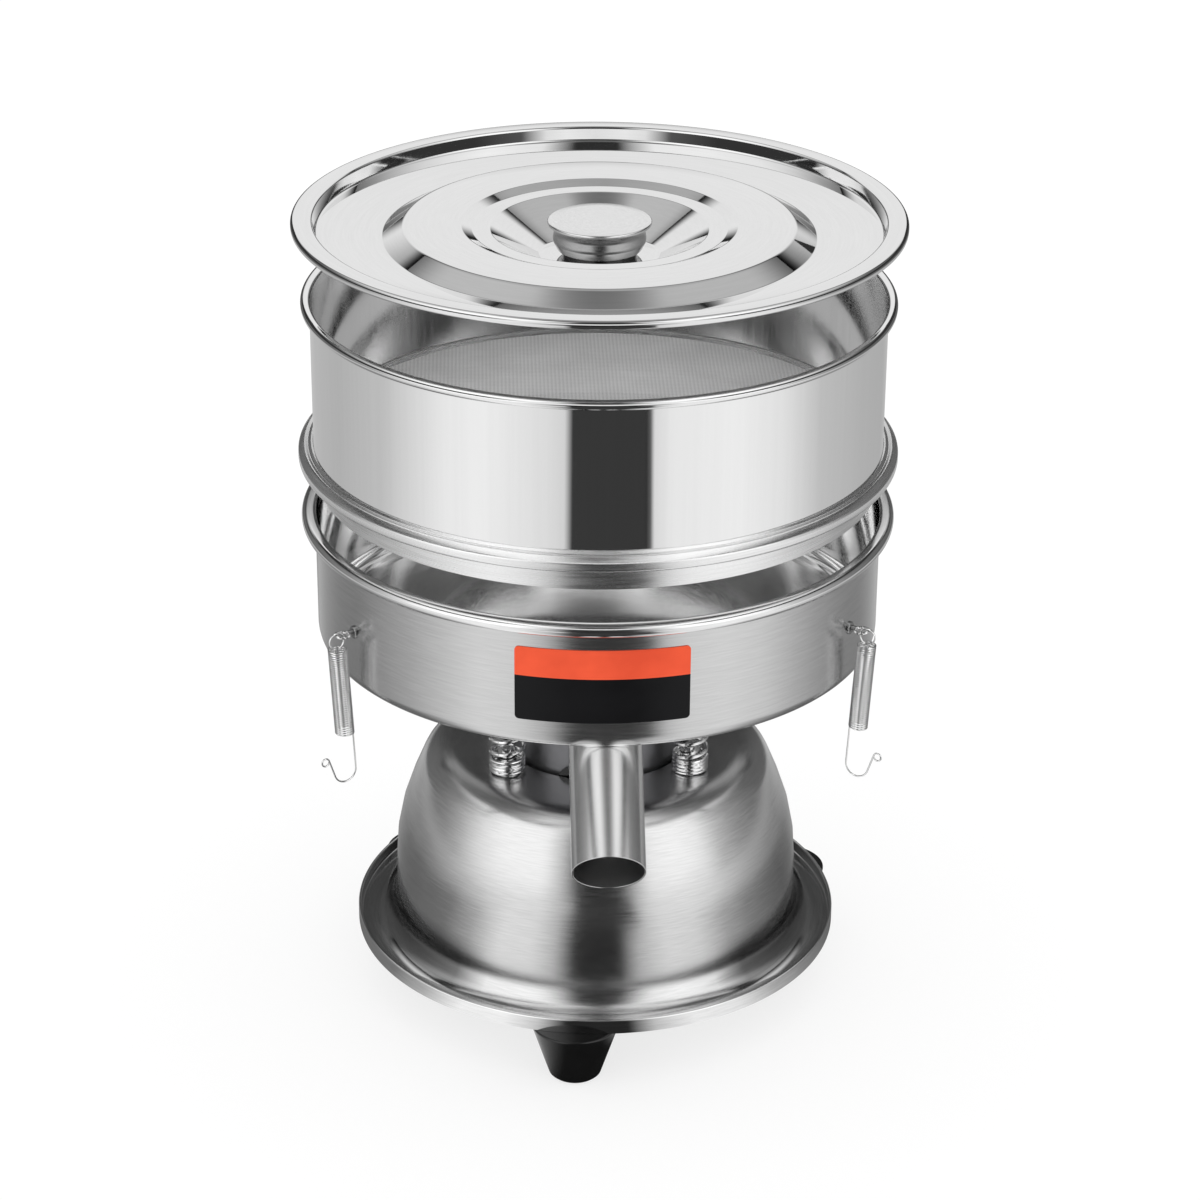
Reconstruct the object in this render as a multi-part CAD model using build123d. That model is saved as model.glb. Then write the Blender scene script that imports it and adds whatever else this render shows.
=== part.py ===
from build123d import *
import math
import os

# A table-top vibrating sieve: a spun dome base on three rubber feet, a receiving pan with a
# vibration motor under it that floats on four springs, a sieve drum with woven mesh, and a lid.
# The drum and the lid are shown lifted off, as they are for emptying and cleaning.
# Millimetres, +Z up. The origin is on the drum's axis at floor level, and -Y is the spout's side.

os.makedirs("parts", exist_ok=True)

# General sizes
sheet = 0.8                 # thickness of the pressed stainless sheet
seat_gap = 0.1              # between pieces that are pushed together
running_gap = 0.05          # radial gap of a shaft in its bearing
moving_gap = 0.3            # between pieces that come to rest on each other
overrun = 2.0               # how far a cut runs past the face that it opens
full_turn = 360.0

# Heights of the main levels above the floor
rim_z = 40.0                # top of the base tray's lip
dome_top_z = 140.0          # flat top of the dome
pan_bottom_z = 209.5        # lowest face of the pan
pan_rim_z = 282.0           # top of the pan's rolled rim
drum_lift = 29.5            # how far the drum is lifted off the pan in the rest pose
lid_lift = 41.5             # how far the lid is lifted off the drum in the rest pose

# Base: a dome that runs out into a shallow tray
skirt_r = 132.7             # outside of the tray
tray_depth = 6.0
tray_fillet_r = 14.0        # hollow between the dome and the tray
lip_width = 1.7
dome_r = 110.7
dome_widest_z = 60.0
dome_flat_r = 77.0          # radius of the flat on top
dome_side_bend_r = 120.0    # the two bends that make the shoulder
dome_top_bend_r = 20.0
dome_corner_share = 0.4142  # where the shoulder's slope meets the wall's and the flat's lines
motor_hole_r = 50.5         # hole in the dome's top for the motor
cover_thickness = 1.2       # of the bottom cover that closes the base
tray_floor_z = rim_z - tray_depth
skirt_bottom_z = tray_floor_z - sheet - cover_thickness

# Bottom cover
cover_edge_gap = 0.5        # between the cover's edge and the tray's skirt
cover_panel_r = 86.0        # raised centre panel
cover_panel_rise = 7.0
vent_count = 12
vent_length = 26.0
vent_width = 4.0
vent_pitch_r = 62.0

# Feet: rubber cones, each held by a screw from below
foot_count = 3
foot_circle_r = 119.0
foot_turn = -7.0            # degrees from the spout's side to the first foot
foot_turns = [foot_turn + i * full_turn / foot_count for i in range(foot_count)]
foot_top_r = 23.5
foot_bottom_r = 13.4
foot_edge_r = 1.2
foot_pocket_r = 6.0
foot_pocket_depth = 22.0
foot_screw_r = 2.0
foot_screw_clearance = 0.2
foot_screw_end = 0.2        # the screw's end above the cover
screw_head_r = 4.4
screw_head_height = 3.0

# Suspension springs, two in front and two behind, standing on the dome
spring_half_x = 49.2
spring_half_y = 38.2
spring_outer_r = 10.0
spring_wire = 2.2
square_wire_share = 0.88    # side of a square wire with the round wire's area
spring_flat_turns = 4       # closed turns at the lower end
spring_top_turns = 2        # closed turns at the upper end
spring_open_turns = 7
post_r = 5.3                # guide post inside a spring's end
post_height = 14.5
post_taper_share = 0.3      # of its radius that tapers a post's top
post_flange_r = 7.2
post_flange_height = 1.5

# Pan
pan_r = 150.2               # outside of the wall
pan_corner_r = 8.0
pan_plateau_r = 86.0        # the floor's flat middle, a little higher than its edge
pan_plateau_rise = 2.0
pan_slope_r = 136.0         # where the floor's slope ends
pan_bead_reach = 7.1        # of the rolled rim beyond the wall
pan_bead_r = pan_r + pan_bead_reach
pan_bead_height = 6.8

# Outlet spout, a straight tube that leaves the pan's front corner downwards
spout_outer_r = 18.75
spout_wall = 0.9
spout_tilt = 35.3           # degrees below the horizontal
spout_end_y = -187.1        # centre of the open end
spout_end_z = 160.6
spout_reach = 150.0         # length of the tube before it's trimmed on the pan
spout_inner_r = spout_outer_r - spout_wall

# Sieve drum
drum_r = 150.0              # outside of the wall
drum_bottom_z = pan_rim_z + drum_lift           # lower face of the flange
drum_height = 88.4          # from the flange's lower face to the top of the rim
drum_bead_reach = 4.6       # of the rolled rim beyond the wall
drum_bead_r = drum_r + drum_bead_reach
drum_bead_tube_r = 2.4
flange_reach = 8.0          # of the flange beyond the wall
flange_r = drum_r + flange_reach
flange_height = 9.2
flange_hollow_reach = 2.6   # of the lowest place between the wall and the flange's raised ring
flange_hollow_r = drum_r + flange_hollow_reach
flange_hollow_depth = 1.4
flange_ridge_reach = 4.4    # of the crest of the raised ring
flange_ridge_r = drum_r + flange_ridge_reach
flange_ridge_depth = 0.9
flange_edge_height = 4.4    # of the flange's outer edge
flange_bevel = 1.0
skirt_drop = 13.2           # the ring under the flange that dips into the pan
skirt_gap = 1.2             # between that ring and the pan's wall
mesh_thickness = 0.5
mesh_ring_width = 2.4
mesh_ring_height = 3.0
drum_top_z = drum_bottom_z + drum_height

# Lid
lid_r = 158.4               # outside of the rim's curl
lid_curl_r = 1.5
lid_curl_drop = 4.2         # from the rim's top to the curl's lowest edge
lid_well_r = 147.5          # outside of the well that dips into the drum
lid_well_taper = 1.4
lid_well_depth = 7.7
lid_panel_fall = 3.5        # fall of the outer panel towards the middle
lid_disc_foot_r = 112.0
lid_disc_r = 100.5
lid_disc_rise = 6.5         # of the raised disc above its foot
lid_step_outer_r = 71.5
lid_step_inner_r = 65.5
lid_step_depth = 2.5
lid_dish_r = 56.5
lid_dish_depth = 15.0
lid_dish_floor_r = 31.0
lid_bend_r = 1.4
lid_rim_top_z = drum_top_z + lid_lift + sheet
knob_cap_r = 27.0
knob_cap_height = 2.4
knob_neck_r = 24.4
knob_height = 16.2
knob_round_r = 5.0
knob_wall = 1.2
knob_base_height = 3.0
knob_boss_r = 6.0
knob_screw_r = 2.5
knob_screw_head_r = 5.0
knob_screw_head_height = 2.4
knob_screw_reach = 9.0      # of the screw into the knob

# Vibration motor under the pan
plate_r = 80.0
plate_thickness = 4.0
plate_top_z = pan_bottom_z + pan_plateau_rise
plate_bottom_z = plate_top_z - plate_thickness
motor_r = 47.5              # outside of the housing
motor_wall = 2.0
motor_length = 134.0
ear_reach = 62.0            # radius of the ears' ends
ear_width = 18.0
ear_thickness = 4.0
ear_bolt_r = 3.0
ear_bolt_head_r = 5.2
ear_bolt_head_height = 4.0
ear_bolt_clearance = 0.3
ear_bolt_circle_r = 54.5
bracket_thickness = 6.0
bracket_hub_r = 17.0
bracket_hub_height = 10.0
upper_bracket_drop = 34.0   # below the plate
lower_bracket_drop = 104.0
bearing_r = 13.0
bearing_height = 9.0
shaft_r = 6.0
stator_height = 40.0
stator_bore_r = 27.6
rotor_gap = 0.6
winding_height = 9.0
winding_outer_r = 40.0
winding_inner_r = 29.5
weight_r = 36.0
weight_thickness = 14.0
weight_hub_r = 12.0
weight_gap = 2.0            # between a weight and the bracket next to it
lower_weight_turn = 60.0    # the lower weight leads the upper one
shaft_end = 3.0             # of the shaft past each weight
housing_cap_thickness = 2.0
set_screw_r = 2.0

# Electrical pieces of the base
switch_z = 64.0
switch_width = 15.0
switch_height = 21.0
switch_corner_r = 0.8
bezel_width = 19.0
bezel_height = 26.0
bezel_proud = 2.0
switch_depth = 18.0
rocker_width = 11.0
rocker_height = 17.0
rocker_tilt = 9.0           # degrees that the rocker leans at rest
rocker_pin_r = 1.2
rocker_pin_length = 13.4
rocker_gap = 0.35
rocker_nose = 5.0           # of the rocker's ends outside its pin
rocker_back = 4.0           # of the rocker inside its pin
rocker_foot_share = 0.5     # of its height that the rocker keeps at the back
rocker_pocket_depth = 6.0   # inside the pin
rocker_pivot_r = dome_r - 2 * rocker_pin_r
gland_turn = 30.0           # degrees from the switch round the base
gland_z = 60.0
gland_flange_r = 8.0
gland_flange_thickness = 3.0
gland_neck_r = 6.0
gland_nose_r = 5.5
gland_nose_length = 9.0
gland_bore_r = 3.5
gland_back_length = 6.0
lead_grommet_turn = -18.0   # where the motor's lead leaves its housing
lead_grommet_z = 138.5
lead_grommet_r = 7.0
lead_grommet_neck_r = 5.0
lead_grommet_bore_r = 3.0
lead_grommet_proud = 1.8
capacitor_r = 15.0
capacitor_length = 46.0
capacitor_place_r = 74.0
capacitor_turn = 100.0
strap_width = 12.0
strap_thickness = 1.2
strap_tab = 8.0             # of the strap's flat ends
terminal_length = 40.0
terminal_width = 18.0
terminal_height = 14.0
terminal_turn = 250.0
terminal_place_r = 72.0

# Hook springs that hold the drum down, hanging free in the rest pose
hook_turns = (-58.5, 58.5, 180.0)
eye_z = 243.0
eye_shank_r = 1.6
eye_shank_length = 3.4
eye_collar_r = 3.4
eye_collar_thickness = 1.2
eye_ring_r = 3.6
eye_wire = 1.7
hook_wire = 1.0
hook_loop_r = 4.2
hook_coil_r = 5.2
hook_coil_length = 50.0
hook_coil_wall = 1.0
hook_lean = 3.5             # degrees that a hanging hook spring leans towards the pan
hook_leg = 20.0
hook_bend_r = 7.4
hook_bend_turn = 150.0
hook_tip_length = 7.0
hook_curl_r = 2.4
hook_curl_turn = 250.0


def write(node, *solids):
    """Writes one node's solid, or several like solids that share it."""
    shape = solids[0] if len(solids) == 1 else Compound(children=list(solids))
    export_step(shape, "parts/" + node + ".step")


def spun(face):
    """A face drawn as radius across and height up, turned about the drum's axis."""
    return revolve(Plane.XZ * face, Axis.Z)


def outline(*points):
    return make_face(Polyline(*points, close=True))


def sheet_section(line, thickness=sheet, side=Side.LEFT, kind=Kind.INTERSECTION):
    """The section of a sheet that lies on one side of a line across and up."""
    return make_face(offset(line, amount=thickness, side=side, kind=kind))


def wire_ring(radius, diameter):
    """A ring of wire, lying flat on z = 0; the wire is six-sided."""
    return revolve(Plane.XZ * Pos(radius, 0) * RegularPolygon(diameter / 2, 6), Axis.Z)


def rod(radius, length, base=(0, 0, 0)):
    return Pos(*base) * extrude(Circle(radius), length)


def turned(angle, shape):
    """The shape turned about the drum's axis, from the spout's side towards +X."""
    return Rot(0, 0, angle) * shape


# Base

def dome_corners():
    """The corners that the dome's bends round, from the tray up to the flat."""
    rise = dome_top_z - dome_widest_z
    return [
        (dome_r, tray_floor_z),
        (dome_r, dome_widest_z + dome_corner_share * rise),
        (dome_flat_r + dome_corner_share * (dome_r - dome_flat_r), dome_top_z),
    ]


def dome_line():
    """The dome's outer line from the tray's floor up to the edge of the motor's hole."""
    ends = (skirt_r - lip_width / 2, tray_floor_z), (motor_hole_r, dome_top_z)
    bends = [tray_fillet_r, dome_side_bend_r, dome_top_bend_r]
    return FilletPolyline(ends[0], *dome_corners(), ends[1], radius=bends)


def dome_envelope():
    """The space inside the dome's outer face, for seating pieces on it."""
    line = FilletPolyline(*dome_corners(), (0, dome_top_z), radius=[dome_side_bend_r, dome_top_bend_r])
    return spun(make_face(line + Polyline((0, dome_top_z), (0, tray_floor_z), (dome_r, tray_floor_z))))


def pointing_out(radius, height):
    """A plane on the spout's side at this radius and height, facing away from the axis."""
    return Plane(origin=(0, -radius, height), x_dir=(1, 0, 0), z_dir=(0, -1, 0))


def base_shell():
    lip_inner_r = skirt_r - lip_width
    lip_round_z = rim_z - lip_width / 2
    lip = make_face(Wire([
        Line((lip_inner_r, tray_floor_z - sheet), (lip_inner_r, lip_round_z)),
        CenterArc((skirt_r - lip_width / 2, lip_round_z), lip_width / 2, 180, -180),
        Line((skirt_r, lip_round_z), (skirt_r, skirt_bottom_z)),
        Line((skirt_r, skirt_bottom_z), (skirt_r - sheet, skirt_bottom_z)),
        Line((skirt_r - sheet, skirt_bottom_z), (skirt_r - sheet, tray_floor_z - sheet)),
        Line((skirt_r - sheet, tray_floor_z - sheet), (lip_inner_r, tray_floor_z - sheet)),
    ]))
    shell = spun(sheet_section(dome_line(), kind=Kind.ARC) + lip)
    wall = pointing_out(dome_r - tray_fillet_r, switch_z)
    opening = RectangleRounded(switch_width, switch_height, switch_corner_r)
    window = extrude(wall * opening, tray_fillet_r + overrun)
    shell -= turned(180, window)
    gland_axis = pointing_out(dome_r - tray_fillet_r, gland_z)
    gland_hole = extrude(gland_axis * Circle(gland_neck_r + seat_gap), tray_fillet_r + overrun)
    return shell - turned(180 + gland_turn, gland_hole)


def bottom_cover():
    top = skirt_bottom_z + cover_thickness
    line = Polyline(
        (skirt_r - sheet - cover_edge_gap, top),
        (cover_panel_r, top),
        (cover_panel_r - cover_panel_rise, top + cover_panel_rise),
        (0, top + cover_panel_rise),
    )
    cover = spun(sheet_section(line, cover_thickness))
    for i in range(vent_count):
        place = Rot(0, 0, i * full_turn / vent_count) * Pos(vent_pitch_r, 0, skirt_bottom_z)
        slot = extrude(SlotOverall(vent_length, vent_width), cover_panel_rise + 2 * overrun)
        cover -= place * slot
    for angle in foot_turns:
        hole = rod(foot_screw_r + foot_screw_clearance, 2 * overrun + cover_thickness)
        cover -= turned(angle, Pos(0, -foot_circle_r, skirt_bottom_z - overrun) * hole)
    return cover


def foot():
    hole_r = foot_screw_r + foot_screw_clearance
    cone = spun(outline(
        (hole_r, skirt_bottom_z),
        (foot_top_r, skirt_bottom_z),
        (foot_top_r, skirt_bottom_z - foot_edge_r),
        (foot_bottom_r + foot_edge_r / 2, foot_edge_r),
        (foot_bottom_r - foot_edge_r, 0),
        (foot_pocket_r, 0),
        (foot_pocket_r, foot_pocket_depth),
        (hole_r, foot_pocket_depth),
    ))
    return Pos(0, -foot_circle_r, 0) * cone


def foot_screw():
    head = rod(screw_head_r, screw_head_height, (0, 0, foot_pocket_depth - screw_head_height))
    end = skirt_bottom_z + cover_thickness + foot_screw_end
    shank = rod(foot_screw_r, end - foot_pocket_depth, (0, 0, foot_pocket_depth))
    return Pos(0, -foot_circle_r, 0) * (head + shank)


def guide_post():
    """A spring's guide post, standing on z = 0, with a tapered top."""
    post = rod(post_r, post_height)
    post = chamfer(post.edges().group_by(Axis.Z)[-1], post_r * post_taper_share)
    return post + rod(post_flange_r, post_flange_height)


def switch_body():
    """The rear switch's bezel and case, with the pocket that its rocker tilts in."""
    bezel = extrude(pointing_out(dome_r - bezel_proud, switch_z) * Rectangle(bezel_width, bezel_height),
                    2 * bezel_proud) - dome_envelope()
    case_back = pointing_out(dome_r - switch_depth, switch_z)
    outline_of_case = RectangleRounded(switch_width - 2 * seat_gap, switch_height - 2 * seat_gap,
                                       switch_corner_r)
    case = extrude(case_back * outline_of_case, switch_depth + bezel_proud / 2)
    pocket = extrude(pointing_out(rocker_pivot_r - rocker_pocket_depth, switch_z)
                     * Rectangle(rocker_width + 2 * rocker_gap, rocker_height + 4 * rocker_gap),
                     switch_depth)
    pin_hole = extrude(Plane.YZ.offset(-rocker_pin_length / 2 - running_gap)
                       * Pos(-rocker_pivot_r, switch_z) * Circle(rocker_pin_r + running_gap),
                       rocker_pin_length + 2 * running_gap)
    return turned(180, bezel + case - pocket - pin_hole)


def switch_rocker():
    """The rocker, a shallow V in section, on its pin."""
    half = rocker_height / 2
    face = outline(
        (rocker_back, -half * rocker_foot_share),
        (rocker_back, half * rocker_foot_share),
        (-rocker_nose, half - rocker_gap),
        (-rocker_nose / 2, 0),
        (-rocker_nose, -half + rocker_gap),
    )
    body = extrude(Plane.YZ.offset(-rocker_width / 2) * face, rocker_width)
    pin = extrude(Plane.YZ.offset(-rocker_pin_length / 2) * Circle(rocker_pin_r), rocker_pin_length)
    rocker = Rot(rocker_tilt, 0, 0) * (body + pin)
    return turned(180, Pos(0, -rocker_pivot_r, switch_z) * rocker)


def cord_gland():
    inner = pointing_out(dome_r - gland_back_length, gland_z)
    seat = pointing_out(dome_r - gland_flange_thickness, gland_z)
    flange = extrude(seat * Circle(gland_flange_r), 2 * gland_flange_thickness) - dome_envelope()
    neck = extrude(inner * Circle(gland_neck_r), gland_back_length + gland_flange_thickness)
    nose = extrude(pointing_out(dome_r + gland_flange_thickness, gland_z) * Circle(gland_nose_r),
                   gland_nose_length)
    bore_length = gland_back_length + gland_flange_thickness + gland_nose_length + 2 * overrun
    bore = extrude(pointing_out(dome_r - gland_back_length - overrun, gland_z) * Circle(gland_bore_r),
                   bore_length)
    return turned(180 + gland_turn, flange + neck + nose - bore)


def on_cover(radius):
    """The place on the bottom cover's raised panel at this radius, on the spout's side."""
    return Pos(0, -radius, skirt_bottom_z + cover_thickness + cover_panel_rise)


def run_capacitor():
    """The motor's capacitor, lying on the bottom cover in its strap."""
    centre_height = capacitor_r + seat_gap
    can = extrude(Plane.YZ.offset(-capacitor_length / 2) * Circle(capacitor_r), capacitor_length)
    return turned(capacitor_turn, on_cover(capacitor_place_r) * Pos(0, 0, centre_height) * can)


def capacitor_strap():
    inner_r = capacitor_r + seat_gap
    band = Circle(inner_r + strap_thickness) - Circle(inner_r)
    legs = Pos(0, -inner_r / 2) * Rectangle(2 * (inner_r + strap_thickness), inner_r)
    legs -= Pos(0, -inner_r / 2) * Rectangle(2 * inner_r, inner_r)
    feet = Pos(0, (strap_thickness - 2 * inner_r) / 2) * Rectangle(2 * (inner_r + strap_tab), strap_thickness)
    feet -= Pos(0, -inner_r) * Rectangle(2 * inner_r, 2 * strap_thickness)
    upper = Pos(0, inner_r) * Rectangle(4 * inner_r, 2 * inner_r)
    face = (band & upper) + legs + feet
    strap = extrude(Plane.YZ.offset(-strap_width / 2) * face, strap_width)
    return turned(capacitor_turn, on_cover(capacitor_place_r) * Pos(0, 0, inner_r) * strap)


def terminal_block():
    block = extrude(Rectangle(terminal_length, terminal_width), terminal_height)
    for way in GridLocations(terminal_length / 4, 0, 3, 1):
        block -= way * rod(terminal_width / 8, terminal_height, (0, 0, terminal_height / 2))
    return turned(terminal_turn, on_cover(terminal_place_r) * block)


# Suspension springs

def spring_places():
    """Where the four springs stand on the dome: two in front, two behind."""
    return [(x, y) for y in (-spring_half_y, spring_half_y) for x in (-spring_half_x, spring_half_x)]


def suspension_spring(x, y):
    """Closed turns at both ends as sleeves, with the open turns wound between them."""
    length = plate_bottom_z - dome_top_z
    closed_low = spring_flat_turns * spring_wire
    closed_high = spring_top_turns * spring_wire
    middle_r = spring_outer_r - spring_wire / 2
    ring = Circle(spring_outer_r) - Circle(spring_outer_r - spring_wire)
    low = extrude(ring, closed_low)
    high = Pos(0, 0, length - closed_high) * extrude(ring, closed_high)
    rise = length - closed_low - closed_high + spring_wire
    turns = Pos(0, 0, closed_low - spring_wire / 2) * Helix(rise / spring_open_turns, rise, middle_r)
    start = Plane(origin=turns @ 0, x_dir=(1, 0, 0), z_dir=turns % 0)
    side = spring_wire * square_wire_share
    wire = sweep(start * Rectangle(side, side), path=turns, is_frenet=True)
    return Pos(x, y, dome_top_z) * (low + wire + high)


# Pan

def pan_line():
    """The pan's outer line from the floor's middle up into its rolled rim."""
    floor = Polyline(
        (0, pan_bottom_z + pan_plateau_rise),
        (pan_plateau_r, pan_bottom_z + pan_plateau_rise),
        (pan_slope_r, pan_bottom_z),
    )
    wall = FilletPolyline(
        (pan_slope_r, pan_bottom_z),
        (pan_r, pan_bottom_z),
        (pan_r, pan_rim_z - pan_bead_height / 2),
        radius=pan_corner_r,
    )
    return Wire(floor.edges() + wall.edges())


def pan_envelope():
    """Everything inside the pan's outer face."""
    top = pan_rim_z - pan_bead_height / 2
    plateau_z = pan_bottom_z + pan_plateau_rise
    return spun(make_face(pan_line().edges() + Polyline((pan_r, top), (0, top), (0, plateau_z)).edges()))


def spout_bar(radius):
    """A round bar along the spout, from its open end into the pan."""
    direction = (0, math.cos(math.radians(spout_tilt)), math.sin(math.radians(spout_tilt)))
    end = Plane(origin=(0, spout_end_y, spout_end_z), x_dir=(1, 0, 0), z_dir=direction)
    return extrude(end * Circle(radius), spout_reach)


def pan():
    bead_width = pan_bead_r - pan_r + sheet
    middle = Pos(pan_bead_r - bead_width / 2, pan_rim_z - pan_bead_height / 2)
    bead = middle * RectangleRounded(bead_width, pan_bead_height, pan_bead_height / 2 - sheet / 2)
    hollow = middle * Rectangle(bead_width - 4 * sheet, pan_bead_height - 4 * sheet)
    shell = spun(sheet_section(pan_line()) + bead - hollow) - spout_bar(spout_inner_r)
    for angle in hook_turns:
        hole = extrude(pointing_out(pan_r - 2 * sheet, eye_z) * Circle(eye_shank_r + seat_gap), 4 * sheet)
        shell -= turned(angle, hole)
    return shell


def outlet_spout():
    return spout_bar(spout_outer_r) - spout_bar(spout_inner_r) - pan_envelope()


def eye_bolt():
    """A threaded eye in the pan's wall, with the nut that holds it inside the pan."""
    shank_start = pan_r - sheet - 2 * eye_collar_thickness
    ring_centre = pan_r + eye_shank_length + eye_ring_r
    shank = extrude(pointing_out(shank_start, eye_z) * Circle(eye_shank_r),
                    ring_centre - eye_ring_r - shank_start)
    collar = extrude(pointing_out(pan_r, eye_z) * Circle(eye_collar_r), eye_collar_thickness)
    nut_start = pan_r - sheet - seat_gap - eye_collar_thickness
    nut = extrude(pointing_out(nut_start, eye_z) * RegularPolygon(eye_collar_r, 6), eye_collar_thickness)
    ring = Pos(0, -ring_centre, eye_z) * wire_ring(eye_ring_r, eye_wire)
    return shank + collar + nut + ring


# Motor under the pan

def motor_ears():
    """Where the ears and their bolts stand round the motor."""
    return (0, 90, 180, 270)


def motor_plate():
    """The thick plate on the pan's floor that carries the motor and the springs."""
    plate = rod(plate_r, plate_thickness, (0, 0, plate_bottom_z))
    for angle in motor_ears():
        plate -= turned(angle, rod(ear_bolt_r + seat_gap, plate_thickness, (0, -ear_bolt_circle_r, plate_bottom_z)))
    return plate


def spring_cap(x, y):
    """The guide post at a spring's upper end."""
    return Pos(x, y, plate_bottom_z) * Rot(180, 0, 0) * guide_post()


def motor_housing():
    low = plate_bottom_z - motor_length
    can = rod(motor_r, motor_length, (0, 0, low))
    for angle in motor_ears():
        ear = Pos(0, -ear_reach / 2) * Rectangle(ear_width, ear_reach)
        ear -= Pos(0, -ear_bolt_circle_r) * Circle(ear_bolt_r + ear_bolt_clearance)
        can += turned(angle, Pos(0, 0, plate_bottom_z - ear_thickness) * extrude(ear, ear_thickness))
    can -= rod(motor_r - motor_wall, motor_length, (0, 0, low))
    hole = extrude(pointing_out(motor_r - 2 * motor_wall, lead_grommet_z) * Circle(lead_grommet_neck_r),
                   4 * motor_wall)
    return can - turned(lead_grommet_turn, hole)


def housing_cap():
    low = plate_bottom_z - motor_length - housing_cap_thickness
    lid = rod(motor_r, housing_cap_thickness, (0, 0, low))
    spigot_r = motor_r - motor_wall - seat_gap
    spigot = rod(spigot_r, 2 * housing_cap_thickness, (0, 0, low))
    hollow = rod(spigot_r - motor_wall, housing_cap_thickness, (0, 0, low + housing_cap_thickness))
    return lid + spigot - hollow


def lead_grommet():
    """The rubber grommet where the motor's lead leaves the housing."""
    foot = pointing_out(motor_r - motor_wall, lead_grommet_z)
    flange = extrude(foot * Circle(lead_grommet_r), motor_wall + lead_grommet_proud)
    wall = rod(motor_r, 4 * lead_grommet_r, (0, 0, lead_grommet_z - 2 * lead_grommet_r))
    neck = extrude(foot * Circle(lead_grommet_neck_r), motor_wall)
    bore = extrude(foot * Circle(lead_grommet_bore_r), motor_wall + lead_grommet_proud)
    return turned(lead_grommet_turn, (flange - wall) + neck - bore)


def motor_bolt():
    head_z = plate_bottom_z - ear_thickness
    shank = rod(ear_bolt_r, ear_thickness + plate_thickness, (0, 0, head_z))
    head = Pos(0, 0, head_z - ear_bolt_head_height) * extrude(RegularPolygon(ear_bolt_head_r, 6),
                                                             ear_bolt_head_height)
    return Pos(0, -ear_bolt_circle_r, 0) * (shank + head)


def bearing_bracket():
    """A bracket across the housing on z = 0, its bearing's pocket open upwards."""
    disc = rod(motor_r - motor_wall - seat_gap, bracket_thickness)
    hub = rod(bracket_hub_r, bracket_hub_height)
    pocket_z = bracket_hub_height - bearing_height
    pocket = rod(bearing_r + seat_gap, bearing_height, (0, 0, pocket_z))
    return disc + hub - pocket - rod(shaft_r + moving_gap, bracket_hub_height)


def bearing():
    ring = Circle(bearing_r) - Circle(shaft_r + running_gap)
    return Pos(0, 0, bracket_hub_height - bearing_height) * extrude(ring, bearing_height)


def upper_end():
    """Where the upper bracket lies, facing up."""
    return Pos(0, 0, plate_bottom_z - upper_bracket_drop - bracket_thickness)


def lower_end():
    """Where the lower bracket lies, facing down."""
    return Pos(0, 0, plate_bottom_z - lower_bracket_drop) * Rot(180, 0, 0)


def core_bottom_z():
    """The lower face of the stator, midway between the brackets."""
    space = lower_bracket_drop - upper_bracket_drop - bracket_thickness
    return plate_bottom_z - lower_bracket_drop + (space - stator_height) / 2


def stator_core():
    ring = Circle(motor_r - motor_wall - seat_gap) - Circle(stator_bore_r)
    return Pos(0, 0, core_bottom_z()) * extrude(ring, stator_height)


def winding():
    """The stator's winding, as its two end turns."""
    ring = Circle(winding_outer_r) - Circle(winding_inner_r)
    end_turn = extrude(ring, winding_height)
    low = core_bottom_z()
    return (Pos(0, 0, low - winding_height) * end_turn, Pos(0, 0, low + stator_height) * end_turn)


def rotor_core():
    ring = Circle(stator_bore_r - rotor_gap) - Circle(shaft_r + seat_gap)
    return Pos(0, 0, core_bottom_z()) * extrude(ring, stator_height)


def weight_height():
    """From a bracket's inner face to its weight, and to the weight's outer face."""
    near = bracket_hub_height + weight_gap
    return near, near + weight_thickness


def motor_shaft():
    reach = weight_height()[1] + shaft_end
    low = plate_bottom_z - lower_bracket_drop - reach
    high = plate_bottom_z - upper_bracket_drop - bracket_thickness + reach
    return rod(shaft_r, high - low, (0, 0, low))


def weight():
    """A half-disc weight standing off a bracket on z = 0, with its set screw's hole."""
    near = weight_height()[0]
    half = Circle(weight_r) & (Pos(0, -weight_r) * Rectangle(2 * weight_r, 2 * weight_r))
    face = half + Circle(weight_hub_r) - Circle(shaft_r + seat_gap)
    body = Pos(0, 0, near) * extrude(face, weight_thickness)
    middle = near + weight_thickness / 2
    hole = extrude(Plane.XZ.offset(0) * Pos(0, middle) * Circle(set_screw_r + seat_gap), -weight_r)
    return body - hole


def set_screw():
    middle = weight_height()[0] + weight_thickness / 2
    length = weight_hub_r - shaft_r - seat_gap
    return extrude(Plane.XZ.offset(-shaft_r - seat_gap) * Pos(0, middle) * Circle(set_screw_r), -length)


# Sieve drum

def drum_wall():
    low = drum_bottom_z + sheet + seat_gap
    bead_centre = (drum_bead_r - drum_bead_tube_r, drum_top_z - drum_bead_tube_r)
    wall_height = bead_centre[1] - low
    wall = Pos(drum_r - sheet / 2, low + wall_height / 2) * Rectangle(sheet, wall_height)
    bead = Pos(*bead_centre) * Circle(drum_bead_tube_r)
    return spun(wall + bead)


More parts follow.
